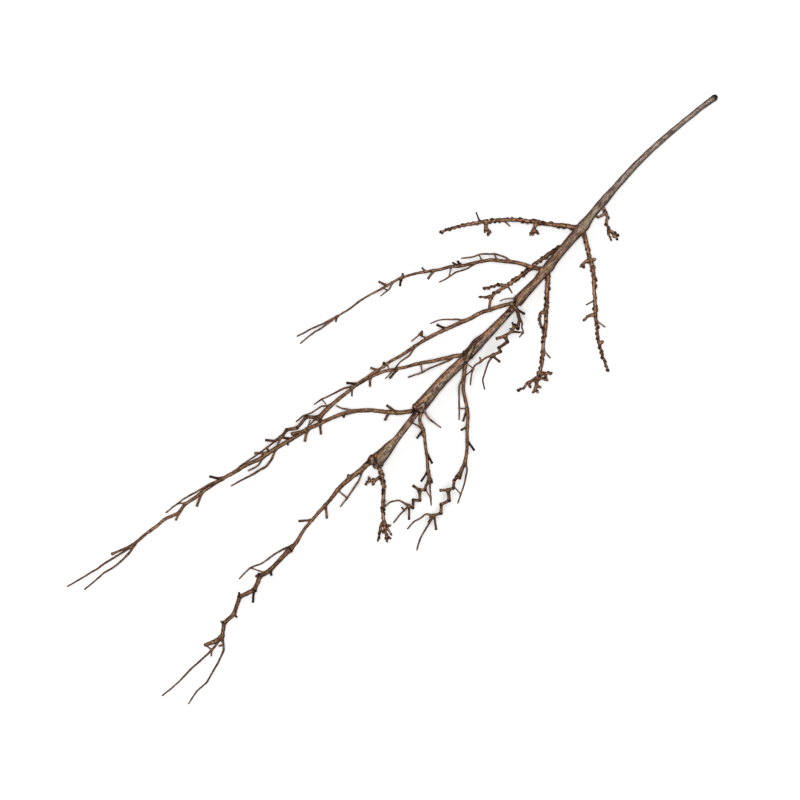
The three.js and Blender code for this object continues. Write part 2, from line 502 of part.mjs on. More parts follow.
function ringsOf(limb, line, knobbly) {
  if (knobbly && !limb.blunt) return budded(line, limb.radius, limb.from === undefined ? BARE : 0);
  const share = shares(line);
  return line.map((at, i) => ({ at, r: along(limb.radius, share[i]) }));
}

function sidesFor(limb, knobbly) {
  return knobbly || limb.radius[0] < FINE ? FINE_SIDES : TWIG_SIDES;
}

// One twig: all its limbs laid in turn and fused
function makeTwig({ limbs, knobbly }) {
  const lines = [];
  let solid = null;
  for (const limb of limbs) {
    const line = layLine(limb, lines);
    lines.push(line);
    const piece = skin(ringsOf(limb, line, knobbly), sidesFor(limb, knobbly), limb.blunt);
    solid = solid ? solid.add(piece) : piece;
  }
  return solid;
}

// Rings grown by the clearance, measured to the flats of the skin, and pushed back by it
function roomFor(rings, sides) {
  const room = rings.map(({ at, r }) => ({ at: at.clone(), r: (r + FIT) / Math.cos(Math.PI / sides) }));
  room[0].at.add(rings[0].at.clone().sub(rings[1].at).setLength(FIT + rings[0].r * CAP_START));
  return skin(room, sides, true);
}

// The socket that a twig needs: the room of the first stretch of its main limb
function makeSocket({ limbs, knobbly }) {
  const rings = ringsOf(limbs[0], layLine(limbs[0], []), knobbly);
  return roomFor(rings.slice(0, knobbly ? KNOBBLY_SOCKET_RINGS : SOCKET_RINGS), SOCKET_SIDES);
}

function sleeveRings({ route, high }) {
  const points = route.map(([x, y]) => place(x, y, 0));
  const share = shares(points);
  return points.map((at, i) => ({ at: at.setZ(along(high, share[i])), r: route[i][2] }));
}

// The hollow of a mouth: a cone that opens toward the end of the sleeve
function makeMouth(sleeve) {
  const rings = sleeveRings(sleeve);
  const end = rings[rings.length - 1];
  const way = end.at.clone().sub(rings[rings.length - 2].at).normalize();
  const inner = end.r - MOUTH_WALL;
  const hollow = MOUTH_SHAPE.map(([past, share]) => (
    { at: end.at.clone().addScaledVector(way, past), r: inner * share }
  ));
  return skin(hollow, STEM_SIDES, true);
}

// One sleeve of the stem: its skin, bosses and fine limbs, less the mouth and the sockets
function makeSleeve(name) {
  const sleeve = SLEEVES[name];
  let solid = skin(sleeveRings(sleeve), STEM_SIDES, true);
  for (const [x, y, height, radius] of BOSSES[name]) {
    const boss = new THREE.SphereGeometry(radius, BOSS_SIDES, BOSS_RINGS);
    solid = solid.add(solidOf(boss, place(x, y, height)));
  }
  for (const limb of SLEEVE_LIMBS[name] ?? []) {
    solid = solid.add(skin(ringsOf(limb, layLine(limb, []), false), FINE_SIDES, false));
  }
  solid = solid.subtract(makeMouth(sleeve));
  const next = SLEEVES[NEXT_SLEEVE[name]];
  if (next) solid = solid.subtract(roomFor(sleeveRings(next).slice(0, PLUG_RINGS), STEM_SIDES));
  for (const twig of SOCKETS[name]) solid = solid.subtract(makeSocket(TWIGS[twig]));
  return solid;
}

// Everything below the surface that the branch lies on
function makeGround() {
  const block = new THREE.BoxGeometry(GROUND_SIZE, GROUND_SIZE, GROUND_DEPTH);
  return solidOf(block, new THREE.Vector3(0, 0, -GROUND_DEPTH / 2));
}

function toMesh(solid, name, colour, roughness) {
  const { vertProperties, triVerts } = solid.getMesh();
  const geometry = new THREE.BufferGeometry();
  geometry.setAttribute('position', new THREE.BufferAttribute(new Float32Array(vertProperties), 3));
  geometry.setIndex(new THREE.BufferAttribute(new Uint32Array(triVerts), 1));
  geometry.computeVertexNormals();
  const material = new THREE.MeshStandardMaterial({ color: colour, roughness, metalness: 0 });
  const mesh = new THREE.Mesh(geometry, material);
  mesh.name = name;
  return mesh;
}

const branch = new THREE.Group();
const ground = makeGround();
for (const name of Object.keys(SLEEVES)) {
  branch.add(toMesh(makeSleeve(name).subtract(ground), name, STEM_COLOURS[name], STEM_ROUGHNESS));
}
for (const [name, twig] of Object.entries(TWIGS)) {
  const colour = twig.knobbly ? KNOBBLY_COLOUR : SMOOTH_COLOUR;
  branch.add(toMesh(makeTwig(twig).subtract(ground), name, colour, TWIG_ROUGHNESS));
}

export default branch;
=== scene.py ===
import math

import bpy
import numpy as np
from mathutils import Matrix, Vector


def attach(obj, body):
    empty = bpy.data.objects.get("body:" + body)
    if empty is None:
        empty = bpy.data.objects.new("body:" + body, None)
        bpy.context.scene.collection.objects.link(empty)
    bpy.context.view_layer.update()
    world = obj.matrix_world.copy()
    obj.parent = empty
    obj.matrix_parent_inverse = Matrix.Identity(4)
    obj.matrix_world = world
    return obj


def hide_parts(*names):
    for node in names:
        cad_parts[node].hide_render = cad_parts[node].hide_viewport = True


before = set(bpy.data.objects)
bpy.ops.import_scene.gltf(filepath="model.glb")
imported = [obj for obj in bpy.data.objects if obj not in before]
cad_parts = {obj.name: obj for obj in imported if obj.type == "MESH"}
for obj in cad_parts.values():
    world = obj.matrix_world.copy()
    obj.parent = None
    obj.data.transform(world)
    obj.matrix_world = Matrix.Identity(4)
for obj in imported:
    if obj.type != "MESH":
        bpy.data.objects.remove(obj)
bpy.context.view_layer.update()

# A forsythia branch laid flat: four sleeves of stem that plug into each other, and thirteen
# twigs pushed into them. Routes are drawn on a sheet seen from above, x to the right and y
# down, one step being STEP mm; heights and radii are in mm, and meshes are made in metres.

# The lower sleeve of the stem
# The thickest length: grey-brown bark moulded over a core, cut straight at its thick end.
# It has a collar where each twig is pushed in, and its far end opens as a ragged mouth.

STEP = 1.5
SHEET_CENTRE = (425.44, 380.49)
SHEET_TURN = math.radians(137.6)
MM = 0.001
SURFACE = 0.02  # nothing lies lower than this
STEM_SPACING = 0.8
STEM_SIDES = 56
STEM_REACH = 5.0  # how far a corner of the stem is softened
STEM_SWAY = 0.5
STEM_SWAY_LENGTH = 26.0
LUMPS = 0.32
FURROWS = 0.26
FURROW_DARK = 0.55
CUT_DARK = 0.75
HATCH_HEIGHT = 0.1
HATCH_PITCH = 4.4
COLLAR_HEIGHT = 1.3
COLLAR_WIDTH = 1.5
# The rings of a mouth, over its lip and down inside: way past the end, share of the radius, dark; the
# dark down inside is painted shade
MOUTH_RINGS = [(0.9, 0.97, 0.15), (1.5, 0.9, 0), (1.2, 0.8, 1), (-0.6, 0.72, 1), (-4, 0.66, 1),
               (-9, 0.5, 1), (-10, 0.2, 1)]
LIP_RAGGED = 0.77

LOWER_ROUTE = [(717, 95.7, 1), (715.5, 97, 5.2), (713, 99, 4.6), (700, 108.5, 4.2), (685, 120.5, 4.2),
               (670, 133, 4.3), (650, 151, 4.5), (630, 171, 4.9), (615, 188, 5.4), (604, 201, 6.4),
               (597, 209, 6), (590, 217, 6.4), (583, 227, 9), (577, 233, 7.4), (564, 248, 6.8),
               (557, 256, 6.9), (549, 266, 8), (543, 273, 6.9), (537, 281, 5.9), (525, 293, 7.4),
               (517, 302, 9)]
LOWER_HIGH = [3.6, 4.6, 7.6, 10, 11.5, 13]

# Bumps, scars and hollows of the bark: x, y, height, width, push, dark, pale; dark in a hollow or by a
# hole is painted shade
LOWER_MARKS = [
    (552.5, 270, 14, 4.2, 1.6, 0, 0.4), (580, 222, 15, 4, 1.2, 0, 0.5), (604, 196, 12, 3, 0.9, 0, 0.6),
    (514.3, 301, 20, 6, -0.6, 1, 0), (660, 140, 12, 2.2, 0.5, 0.3, 0), (630, 168, 14, 2.5, 0.5, 0, 0.5),
    (716.5, 96, 7, 8, 0, 1, 0), (590, 219, 17, 9, 0, 0, 0.75), (604, 207, 12, 3, 0.3, 0.8, 0),
    (583, 232, 15, 3, 0.6, 0, 0.8),
    (556, 262, 20, 2.6, 0, 0.6, 0), (527, 291, 19, 3, 0.2, 0, 0.8), (575, 231, 15, 2, 0, 0.8, 0),
    (569, 240, 19, 2.4, 0.5, 0.6, 0), (533, 284, 18, 2.6, 0.5, 0, 0.6),
]


def place(x, y, height=0.0):
    """A point of the sheet, at a height, in the branch's own frame, in mm."""
    across, upward = (x - SHEET_CENTRE[0]) * STEP, (SHEET_CENTRE[1] - y) * STEP
    cos, sin = math.cos(SHEET_TURN), math.sin(SHEET_TURN)
    return np.array([across * cos - upward * sin, across * sin + upward * cos, height])


def distances(points):
    """How far along a line each of its points lies."""
    steps = np.linalg.norm(np.diff(points, axis=0), axis=1)
    return np.concatenate([[0.0], np.cumsum(steps)])


def spread(values, share):
    """The value at a share of the way along a list spread evenly."""
    return np.interp(share, np.linspace(0, 1, len(values)), values)


def noise(x, y, z, seed):
    """Smooth noise from -1 to 1 over space, always the same for one seed."""
    x, y, z = np.broadcast_arrays(x, y, z)
    low = [np.floor(v).astype(np.int64) for v in (x, y, z)]
    part = [v - f for v, f in zip((x, y, z), low)]
    part = [p * p * (3 - 2 * p) for p in part]
    total = np.zeros(x.shape)
    for corner in range(8):
        ends = [(corner >> k) & 1 for k in range(3)]
        mixed = seed * 974711
        for f, end, prime in zip(low, ends, (73856093, 19349663, 83492791)):
            mixed = mixed ^ ((f + end) * prime)
        mixed = (mixed * 2654435761) & 0xFFFFFFFF
        mixed = ((mixed ^ (mixed >> 15)) * 2246822519) & 0xFFFFFFFF
        value = ((mixed ^ (mixed >> 13)) & 0xFFFF) / 32767.5 - 1
        weight = np.ones(x.shape)
        for p, end in zip(part, ends):
            weight = weight * (p if end else 1 - p)
        total = total + value * weight
    return total


def eased(points, spacing, reach):
    """A line at even spacing, its corners softened over a reach, its ends kept."""
    far = distances(points)
    count = max(5, int(round(far[-1] / spacing)))
    even = np.linspace(0, far[-1], count + 1)
    line = np.stack([np.interp(even, far, points[:, k]) for k in range(3)], axis=1)
    half = min(int(3 * reach / spacing) + 1, count)
    padded = np.concatenate([2 * line[0] - line[half:0:-1], line,
                             2 * line[-1] - line[-2:-half - 2:-1]])
    weights = np.exp(-0.5 * (np.arange(-half, half + 1) * spacing / reach) ** 2)
    weights /= weights.sum()
    return np.stack([np.convolve(padded[:, k], weights, mode="valid") for k in range(3)], axis=1)


def swayed(line, seed, sway, length):
    """The line with a slight unevenness, none at its ends."""
    far = distances(line)
    fade = np.clip(np.minimum(far, far[-1] - far) / length, 0, 1) * sway
    moved = line.copy()
    for k in range(3):
        moved[:, k] += noise(far / length, 0.5 + k, 0.5, seed) * fade * (0.5 if k == 2 else 1)
    return moved


def ring_frames(line):
    """The way ahead, the side and the top at each point of a line."""
    way = np.gradient(line, axis=0)
    way /= np.linalg.norm(way, axis=1)[:, None]
    side = np.cross(way, [0.0, 0.0, 1.0])
    side /= np.linalg.norm(side, axis=1)[:, None]
    return way, side, np.cross(side, way)


def bump(gap, width):
    """A round bump: 1 where the gap is none, and near 0 past twice the width."""
    return np.exp(-(gap / width) ** 2)


def gap_to(spots, path):
    """How far each of a sheet of points lies from a path."""
    best = np.full(spots.shape[:2], 1e6)
    for start, end in zip(path[:-1], path[1:]):
        way = end - start
        share = np.clip(((spots - start) @ way) / (way @ way), 0, 1)
        best = np.minimum(best, np.linalg.norm(spots - start - share[:, :, None] * way, axis=2))
    return best


def bare_bark(run, radius, turn, seed):
    """The radius of a sleeve all round, with lumps, furrows and slanted cuts, and how dark it is."""
    cos, sin = np.cos(turn)[None, :], np.sin(turn)[None, :]
    s = run[:, None]
    r = radius[:, None] * (1 + 0.05 * noise(s / 30, cos * 0.9, sin * 0.9, seed + 1))
    r = r + LUMPS * noise(s / 9, cos * 2.6, sin * 2.6, seed + 2)
    furrow = noise(s / 16, cos * r / 1.5, sin * r / 1.5, seed + 3)
    r = r - FURROWS * np.clip(furrow, 0, 1) ** 0.7
    hatch = np.sin(7 * turn[None, :] + s * 0.55) * np.sin(5 * turn[None, :] - s * 0.4)
    r = r + HATCH_HEIGHT * hatch * np.clip(noise(s / 12, cos * 1.5, sin * 1.5, seed + 4) + 0.4, 0, 1)
    slanted = np.sin(2 * math.pi * s / HATCH_PITCH + 2.5 * cos)
    hatched = np.clip(2 * noise(s / 15, cos * 1.3, sin * 1.3, seed + 9) + 0.3, 0, 1)
    cuts = CUT_DARK * hatched * np.clip(1.6 * slanted - 0.7, 0, 1)
    return r, np.maximum(FURROW_DARK * np.clip(furrow - 0.15, 0, 1), cuts)


def stem_skin(route, high, seed, marks, collars, ridges=()):
    """The skin of one sleeve, with its furrows, scars, ridges, collars and ragged mouth, and painted
    shade in its hollows, sockets and mouth.
    """
    drawn = np.array([place(x, y) for x, y, _ in route])
    far = distances(drawn)
    drawn[:, 2] = spread(high, far / far[-1])
    line = eased(drawn, STEM_SPACING, STEM_REACH)
    run = distances(line)
    radius = np.interp(run / run[-1], far / far[-1], [r for _, _, r in route])
    radius = np.convolve(np.pad(radius, 3, mode="edge"), np.ones(7) / 7, mode="valid")
    line = swayed(line, seed, STEM_SWAY, STEM_SWAY_LENGTH)
    way, side, top = ring_frames(line)
    turn = (np.arange(STEM_SIDES) + 0.5) / STEM_SIDES * 2 * math.pi
    cos, sin = np.cos(turn)[None, :], np.sin(turn)[None, :]
    outward = side[:, None, :] * cos[:, :, None] + top[:, None, :] * sin[:, :, None]
    r, dark = bare_bark(run, radius, turn, seed)
    pale = np.zeros_like(dark)
    for x, y, h, width, push, darker, paler in marks:
        apart = line[:, None, :] + outward * r[:, :, None] - place(x, y, h)
        lengthwise = (apart * way[:, None, :]).sum(axis=2)
        gap = np.sqrt(np.maximum((apart ** 2).sum(axis=2) - 0.5 * lengthwise ** 2, 0))
        r = r + push * bump(gap, width)
        dark = np.maximum(dark, darker * bump(gap, width * 0.8))
        pale = np.maximum(pale, paler * bump(gap, width * 1.1))
    for path, width, push, darker, paler in ridges:
        gap = gap_to(line[:, None, :] + outward * r[:, :, None], np.array([place(*p) for p in path]))
        r = r + push * bump(gap, width)
        dark = np.maximum(dark, darker * bump(gap - 1.7 * width, 0.7 * width))
        pale = np.maximum(pale, paler * bump(gap, width))
    for spot_at, size in collars:
        spot = line[:, None, :] + outward * r[:, :, None]
        gap = np.linalg.norm(spot - spot_at, axis=2)
        ragged = 1 + 0.3 * noise(*(spot[:, :, k] / 2.5 for k in range(3)), seed + 6)
        r = r + COLLAR_HEIGHT * ragged * bump(gap - size - 0.8, COLLAR_WIDTH)
        # Painted shade in the ring just round each twig's socket
        dark = np.maximum(dark, 0.9 * bump(np.maximum(gap - size, 0), 0.9))
        pale = np.maximum(pale, 0.7 * bump(gap - size - 2.2, 1.6))
    past, share, gloom = np.array(MOUTH_RINGS).T
    lip = LIP_RAGGED * noise(0.5, cos * 2.2, sin * 2.2, seed + 7) * (past > 0)[:, None]
    mouth = line[-1] + way[-1] * (past[:, None] + lip)[:, :, None]
    centre = np.concatenate([np.repeat(line[:, None, :], STEM_SIDES, axis=1), mouth])
    outward = np.concatenate([outward, np.repeat(outward[-1:], len(past), axis=0)])
    r = np.concatenate([r, r[-1:] * share[:, None]])
    dark = np.concatenate([dark, np.repeat(gloom[:, None], STEM_SIDES, axis=1)])
    pale = np.concatenate([pale, np.zeros((len(past), STEM_SIDES))])
    verts = centre + outward * r[:, :, None]
    share = np.concatenate([run / run[-1], np.ones(len(past))])
    run = np.concatenate([run, run[-1] + past])
    return closed_skin(verts, r, turn, run + seed * 500, share, dark, pale)


def closed_skin(verts, r, turn, run, share, dark, pale):
    """Rings of points joined into a closed skin, with what its bark needs to know at each point."""
    rings, sides = verts.shape[:2]
    girth = np.stack([np.cos(turn)[None, :] * r, np.sin(turn)[None, :] * r], axis=2).reshape(-1, 2)
    place_on = np.stack([np.repeat(run[:, None], sides, axis=1),
                         np.repeat(share[:, None], sides, axis=1)], axis=2).reshape(-1, 2)
    shade = np.stack([dark, pale], axis=2).reshape(-1, 2)
    points = verts.reshape(-1, 3)
    ends = [verts[0].mean(axis=0), verts[-1].mean(axis=0)]
    points = np.concatenate([points, ends])
    points[:, 2] = np.maximum(points[:, 2], SURFACE)
    girth = np.concatenate([girth, [[0, 0], [0, 0]]])
    place_on = np.concatenate([place_on, place_on[[0, -1]]])
    shade = np.concatenate([shade, shade[[0, -1]]])
    ring, k = np.meshgrid(np.arange(rings - 1), np.arange(sides), indexing="ij")
    after = (k + 1) % sides
    quads = np.stack([ring * sides + k, (ring + 1) * sides + k, (ring + 1) * sides + after,
                      ring * sides + after], axis=2).reshape(-1, 4)
    around = np.arange(sides)
    first, last = rings * sides, rings * sides + 1
    tail = (rings - 1) * sides
    caps = [(first, int(a), int((a + 1) % sides)) for a in around]
    caps += [(last, int(tail + (a + 1) % sides), int(tail + a)) for a in around]
    return points, quads.tolist() + caps, girth, place_on, shade


# Painted shade of the holes between the sleeves and the twigs, seen from above: x, y, width
HOLE_SHADE = [(513.9, 302, 3.6), (510, 311.3, 3.2), (414.5, 411, 3.2), (366.8, 462.3, 3), (371, 469.5, 2.6),
         (463, 356.5, 2), (466.5, 362.5, 2.6), (574.5, 226, 2.2), (420, 413.5, 1.6)]


def bark_piece(name, skins, material):
    """One object from a few closed skins, smooth, with its bark material, and painted shade where the
    holes between the parts are.
    """
    faces, start = [], 0
    for points, own_faces, _, _, shade in skins:
        faces += [tuple(i + start for i in face) for face in own_faces]
        start += len(points)
        for x, y, width in HOLE_SHADE:
            gap = np.linalg.norm((points - place(x, y))[:, :2], axis=1)
            shade[:, 0] = np.maximum(shade[:, 0], bump(gap, width))
    points = np.concatenate([one[0] for one in skins]) * MM
    mesh = bpy.data.meshes.new(name + "_bark")
    mesh.from_pydata(points.tolist(), [], faces)
    mesh.validate()
    corner = np.zeros(len(mesh.loops), dtype=np.int64)
    mesh.loops.foreach_get("vertex_index", corner)
    for label, column in (("girth", 2), ("run", 3), ("marks", 4)):
        values = np.concatenate([one[column] for one in skins])[corner]
        layer = mesh.uv_layers.new(name=label)
        layer.uv.foreach_set("vector", values.astype(np.float32).ravel())
    mesh.shade_smooth()
    mesh.materials.append(material)
    piece = bpy.data.objects.new(name + "_bark", mesh)
    bpy.context.scene.collection.objects.link(piece)
    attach(piece, "root")
    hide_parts(name)


TWIG_SPACING = 0.6
TWIG_SIDES = 16
BUD_PITCH = 4.3
BUD_SIDES = 9
# The outline of a bud: way out, radius, dark and pale
BUD_SHAPE = [(0, 1.7, 0.5, 0), (0.5, 1.6, 0.8, 0), (0.85, 1.42, 0.7, 0), (1.15, 1.26, 0.2, 0.3),
             (1.42, 1.04, 0.1, 0.7), (1.65, 0.76, 0.35, 0.5), (1.78, 0.42, 0.85, 0), (1.82, 0.14, 0.9, 0)]
DARK_BUDS = 0.55
THIN_DARK = 0.42
STUB_DARKS = [0.3, 0.6, 0.85]
BARE_ROOT = 7.0
BARE_SIDE_ROOT = 3.2
BARE_TIP = 0.6
SHARP_BEND = 0.12
TIP_STEPS = 5
# The rings of an open and of a cut end: way past it and size in radii, and dark; inside an open end the
# dark is painted shade
END_RINGS = {
    "mouth": [(0.175, 1.02, 0.3), (0.35, 0.94, 0.6), (0.25, 0.8, 1), (-0.4, 0.66, 1), (-1.1, 0.5, 1),
              (-1.4, 0.1, 1)],
    "blunt": [(0.25, 0.97, 0.6), (0.42, 0.82, 0.8), (0.48, 0.6, 0.9), (0.4, 0.35, 0.9), (0.38, 0.1, 0.9)],
}
RIM_FADE = {"mouth": 1.2, "blunt": 0.7}
THICKER = {"main": 1.1, "point": 1.38, "joined": 1.35, "blunt": 1.22, "mouth": 1.05}
KNOBBLY_THICKER = 1.1
ZIGZAG_THICKER = 1.1
# How far corners are softened, how much and over what length limbs sway, how far in they are held
REACHES = {"knobbly": 3.2, "side": 2.0, "main": 3.6, "zigzag": 1.1}
SWAYS = {"knobbly": (0.55, 9), "thin": (0.8, 11), "plain": (0.35, 13)}
SINK_REACH = 9.0
HOLD_REACH = 5.0


def height_near(line, point):
    """The height of a line where it passes nearest to a point, both seen from above."""
    start, way = line[:-1, :2], np.diff(line[:, :2], axis=0)
    share = ((point[:2] - start) * way).sum(axis=1) / (way ** 2).sum(axis=1)
    share = np.clip(share, 0, 1)
    apart = np.linalg.norm(start + way * share[:, None] - point[:2], axis=1)
    best = int(np.argmin(apart))
    return line[best, 2] * (1 - share[best]) + line[best + 1, 2] * share[best]


def lay_line(limb, lines):
    """The drawn line of a limb, with its heights, once the limbs that it hangs on are laid."""
    points = np.array([place(x, y) for x, y in limb["route"]])
    share = distances(points) / distances(points)[-1]
    start = height_near(lines[limb["off"]], points[0]) if "off" in limb else 0.0
    end = height_near(lines[limb["to"]], points[-1]) if "to" in limb else start
    own = limb.get("high", limb.get("rise"))
    points[:, 2] = start + (end - start) * share + (spread(own, share) if own else 0)
    return points


def held(line, index, other, run):
    """The line with one end moved onto the limb that it grows from or runs into."""
    nearest = other[np.argmin(np.linalg.norm(other[:, :2] - line[index, :2], axis=1))]
    far = run if index == 0 else run[-1] - run
    return line + (nearest - line[index])[None, :] * np.exp(-far / HOLD_REACH)[:, None]


def twig_lines(limbs, knobbly, seed):
    """The fine centre lines of a twig's limbs."""
    drawn, fine = [], []
    for index, limb in enumerate(limbs):
        line = lay_line(limb, drawn)
        drawn.append(line)
        reach = "zigzag" if limb.get("zigzag") else "knobbly" if knobbly else (
            "side" if "off" in limb else "main")
        line = eased(line, TWIG_SPACING, REACHES[reach])
        line[:, 2] -= limb.get("sink", 0) * bump(distances(line), SINK_REACH)
        thin = "off" in limb and "to" not in limb and limb.get("end") is None
        sway = "knobbly" if knobbly else "thin" if thin else "plain"
        line = swayed(line, seed + index, *SWAYS[sway])
        for word, end in (("off", 0), ("to", -1)):
            if word in limb:
                line = held(line, end, fine[limb[word]], distances(line))
        fine.append(line)
    return fine


def limb_girth(limb, end, line, seed, knobbly, parent_radius, joints):
    """How thick, dark and pale a limb is along its line, with its joints, its root and its end."""
    run = distances(line)
    left = run[-1] - run
    radius = spread(limb["radius"], run / run[-1]) * THICKER["main" if "off" not in limb else end]
    if knobbly and end != "blunt":
        radius = radius * KNOBBLY_THICKER
    radius = radius * (1 + 0.07 * noise(run / 7, 0.3, 0.7, seed + 1))
    thin = not knobbly and "off" in limb and end == "point"
    dark = np.full_like(run, THIN_DARK if thin else 0.0)
    pale = np.zeros_like(run)
    for at, size in joints:
        radius = radius + 0.32 * size * bump(run - at, 1.5 * size)
        dark = np.maximum(dark, 0.5 * bump(run - at - 1.6 * size, 0.8 * size))
        pale = np.maximum(pale, 0.75 * bump(run - at, 1.7 * size))
    if "off" in limb:
        out = np.maximum(run - parent_radius, 0)
        flare = 1 + 0.75 * np.exp(-out / (1.1 * radius[0]))
        radius = np.where(out > 0, radius * flare, np.minimum(radius * flare, parent_radius * 0.9))
        pale = np.maximum(pale, 0.7 * np.exp(-out / (1.4 * radius[0])))
        dark = np.maximum(dark, 0.45 * bump(out - 3 * radius[0], radius[0]))
    if end == "joined":
        radius = radius * (1 + 0.5 * np.exp(-left / 2))
    if end == "mouth":
        radius = radius * (1 + 0.3 * np.exp(-left / 7) + 0.3 * np.exp(-left / 1.6))
        # Painted shade of the open mouth, darkest at its lip
        dark = np.maximum(dark, 0.95 * bump(left, 2.4))
    if end == "blunt":
        radius = radius * (1 + 0.16 * np.exp(-left / 3))
        gloom = np.random.default_rng(seed).choice(STUB_DARKS) if "zigzag" not in limb else 0.25
        gloom = limb.get("gloom", gloom)
        dark = np.maximum(dark, gloom * np.clip(run / 4, 0, 1))
    if limb.get("zigzag"):
        radius = radius * ZIGZAG_THICKER
        for corner in corners_of(line, run):
            radius = radius + 0.35 * radius * bump(run - corner, 1.1)
            dark = np.maximum(dark, bump(run - corner, 1.3))
    return radius, dark, pale


def limb_skin(limb, line, seed, knobbly, parent_radius, joints):
    """The skin of one limb, with its furrows, its spots and its own kind of end."""
    run = distances(line)
    end = limb.get("end", "joined" if "to" in limb else "point")
    radius, dark, pale = limb_girth(limb, end, line, seed, knobbly, parent_radius, joints)
    way, side, top = ring_frames(line)
    turn = (np.arange(TWIG_SIDES) + 0.5) / TWIG_SIDES * 2 * math.pi
    cos, sin = np.cos(turn)[None, :], np.sin(turn)[None, :]
    s = run[:, None]
    r = radius[:, None] * (1 + 0.09 * noise(s / 3.5, cos * 1.2, sin * 1.2, seed + 2))
    furrow = noise(s / 7, cos * 2.4, sin * 2.4, seed + 3)
    r = r - 0.1 * radius[:, None] * np.clip(furrow, 0, 1)
    dark = np.maximum(np.repeat(dark[:, None], TWIG_SIDES, axis=1), 0.5 * np.clip(furrow - 0.3, 0, 1))
    pale = np.repeat(pale[:, None], TWIG_SIDES, axis=1)
    outward = side[:, None, :] * cos[:, :, None] + top[:, None, :] * sin[:, :, None]
    for x, y, width, darker, paler in limb.get("spots", ()):
        seen = (line[:, None, :] + outward * r[:, :, None] - place(x, y))[:, :, :2]
        gap = np.linalg.norm(seen, axis=2)
        dark = np.maximum(dark, darker * bump(gap, width))
        pale = np.maximum(pale, paler * bump(gap, width))
    if end in RIM_FADE:
        dark = np.maximum(dark, 0.7 * np.clip(1 - (run[-1] - run) / RIM_FADE[end], 0, 1)[:, None])
    past, size, gloom = ending(end, radius[-1])
    centre = np.concatenate([line, line[-1] + way[-1] * past[:, None]])
    r = np.concatenate([r, r[-1:] * size[:, None]])
    outward = np.concatenate([outward, np.repeat(outward[-1:], len(past), axis=0)])
    dark = np.concatenate([dark, np.repeat(gloom[:, None], TWIG_SIDES, axis=1)])
    pale = np.concatenate([pale, np.zeros((len(past), TWIG_SIDES))])
    run = np.concatenate([run, run[-1] + past])
    verts = centre[:, None, :] + outward * r[:, :, None]
    return closed_skin(verts, r, turn, run + seed * 37, run / run[-1], dark, pale)


def corners_of(line, run):
    """Where a line turns most sharply."""
    way = np.gradient(line, axis=0)
    way /= np.linalg.norm(way, axis=1)[:, None]
    bend = np.linalg.norm(np.gradient(way, axis=0), axis=1)
    found = []
    for i in range(3, len(bend) - 3):
        if bend[i] > SHARP_BEND and bend[i] == bend[max(0, i - 5):i + 6].max():
            found.append(run[i])
    return found


def bud_skin(root, out, way, size, seed):
    """One bud: a round knob on a narrower neck, a little lopsided, dark at the neck."""
    chance = np.random.default_rng(seed)
    side = np.cross(out, way)
    side /= math.copysign(np.linalg.norm(side), side[2])
    other = np.cross(side, out)
    turn = (np.arange(BUD_SIDES) + 0.5) / BUD_SIDES * 2 * math.pi
    past, thick, dark, pale = np.array(BUD_SHAPE).T
    past = past * size
    r = thick[:, None] * size
    r = r * (1 + 0.16 * np.sin(turn + chance.uniform(0, 6))[None, :])
    r = r * (1 + 0.12 * noise(past[:, None], np.cos(turn)[None, :], np.sin(turn)[None, :], seed))
    lean = way * chance.uniform(0.1, 0.5) + side * chance.normal(0, 0.2)
    centre = root + out * past[:, None] + lean * (past[:, None] ** 2 / (3 * size))
    verts = centre[:, None, :] + r[:, :, None] * (
        side * np.sin(turn)[None, :, None] - other * np.cos(turn)[None, :, None])
    dark, pale = (np.repeat(shade[:, None], BUD_SIDES, axis=1) for shade in (dark, pale))
    if chance.random() < DARK_BUDS:
        dark, pale = np.maximum(dark, 0.75), pale * 0
    return closed_skin(verts, r, turn, past + seed * 11, past * 0, dark, pale)


def bud_skins(limb, line, seed):
    """All the buds of a knobbly limb, on its two sides in turn, and one at its tip."""
    run = distances(line)
    way, side, top = ring_frames(line)
    chance = np.random.default_rng(seed)
    main = "off" not in limb
    size = float(spread(limb["radius"], 0.5))
    at, hand, found = BARE_ROOT if main else BARE_SIDE_ROOT, chance.integers(2), []
    while at < run[-1] - BARE_TIP:
        i = min(int(np.searchsorted(run, at)), len(run) - 1)
        radius = float(spread(limb["radius"], run[i] / run[-1]))
        aim = math.pi * hand + chance.normal(0, 0.5)
        out = side[i] * math.cos(aim) + top[i] * math.sin(aim) + way[i] * chance.uniform(0.2, 0.75)
        out /= np.linalg.norm(out)
        bud = (0.95 + 0.34 * radius) * chance.uniform(0.65, 1.25)
        found.append(bud_skin(line[i] + out * radius * 0.5, out, way[i], bud, seed * 3 + len(found)))
        at += BUD_PITCH * chance.uniform(0.45, 1.5) * (1 if main else 0.9)
        hand = 1 - hand if chance.random() < 0.8 else hand
    tip = 0.95 * limb["radius"][-1] + 0.35
    found.append(bud_skin(line[-1] - way[-1] * 0.8, way[-1], side[-1], tip, seed * 5 + 1))
    return found


def corner_skins(limb, line, seed):
    """The stub of the cut-off bud at each corner of a zigzag, in line with the way it came."""
    run = distances(line)
    way, side, top = ring_frames(line)
    found = []
    for corner in corners_of(line, run):
        i = int(np.searchsorted(run, corner))
        before, after = way[max(i - 4, 0)], way[min(i + 4, len(way) - 1)]
        out = 0.8 * before - 0.6 * after
        out /= np.linalg.norm(out)
        radius = float(spread(limb["radius"], corner / run[-1]))
        found.append(bud_skin(line[i], out, before, 0.78 * radius + 0.25, seed + len(found)))
    return found


def ending(kind, radius):
    """The rings past a limb's end, an open mouth, a cut end or a rounded tip: way, size and dark."""
    if kind in END_RINGS:
        past, size, gloom = np.array(END_RINGS[kind]).T
        return past * radius, size, gloom
    step = np.linspace(0, 1, TIP_STEPS + 1)[1:]
    past = step * radius * (1.9 if kind == "point" else 0.6)
    return past, np.sqrt(1 - step ** 2) * 0.98 + 0.02, np.full(TIP_STEPS, 0.25)


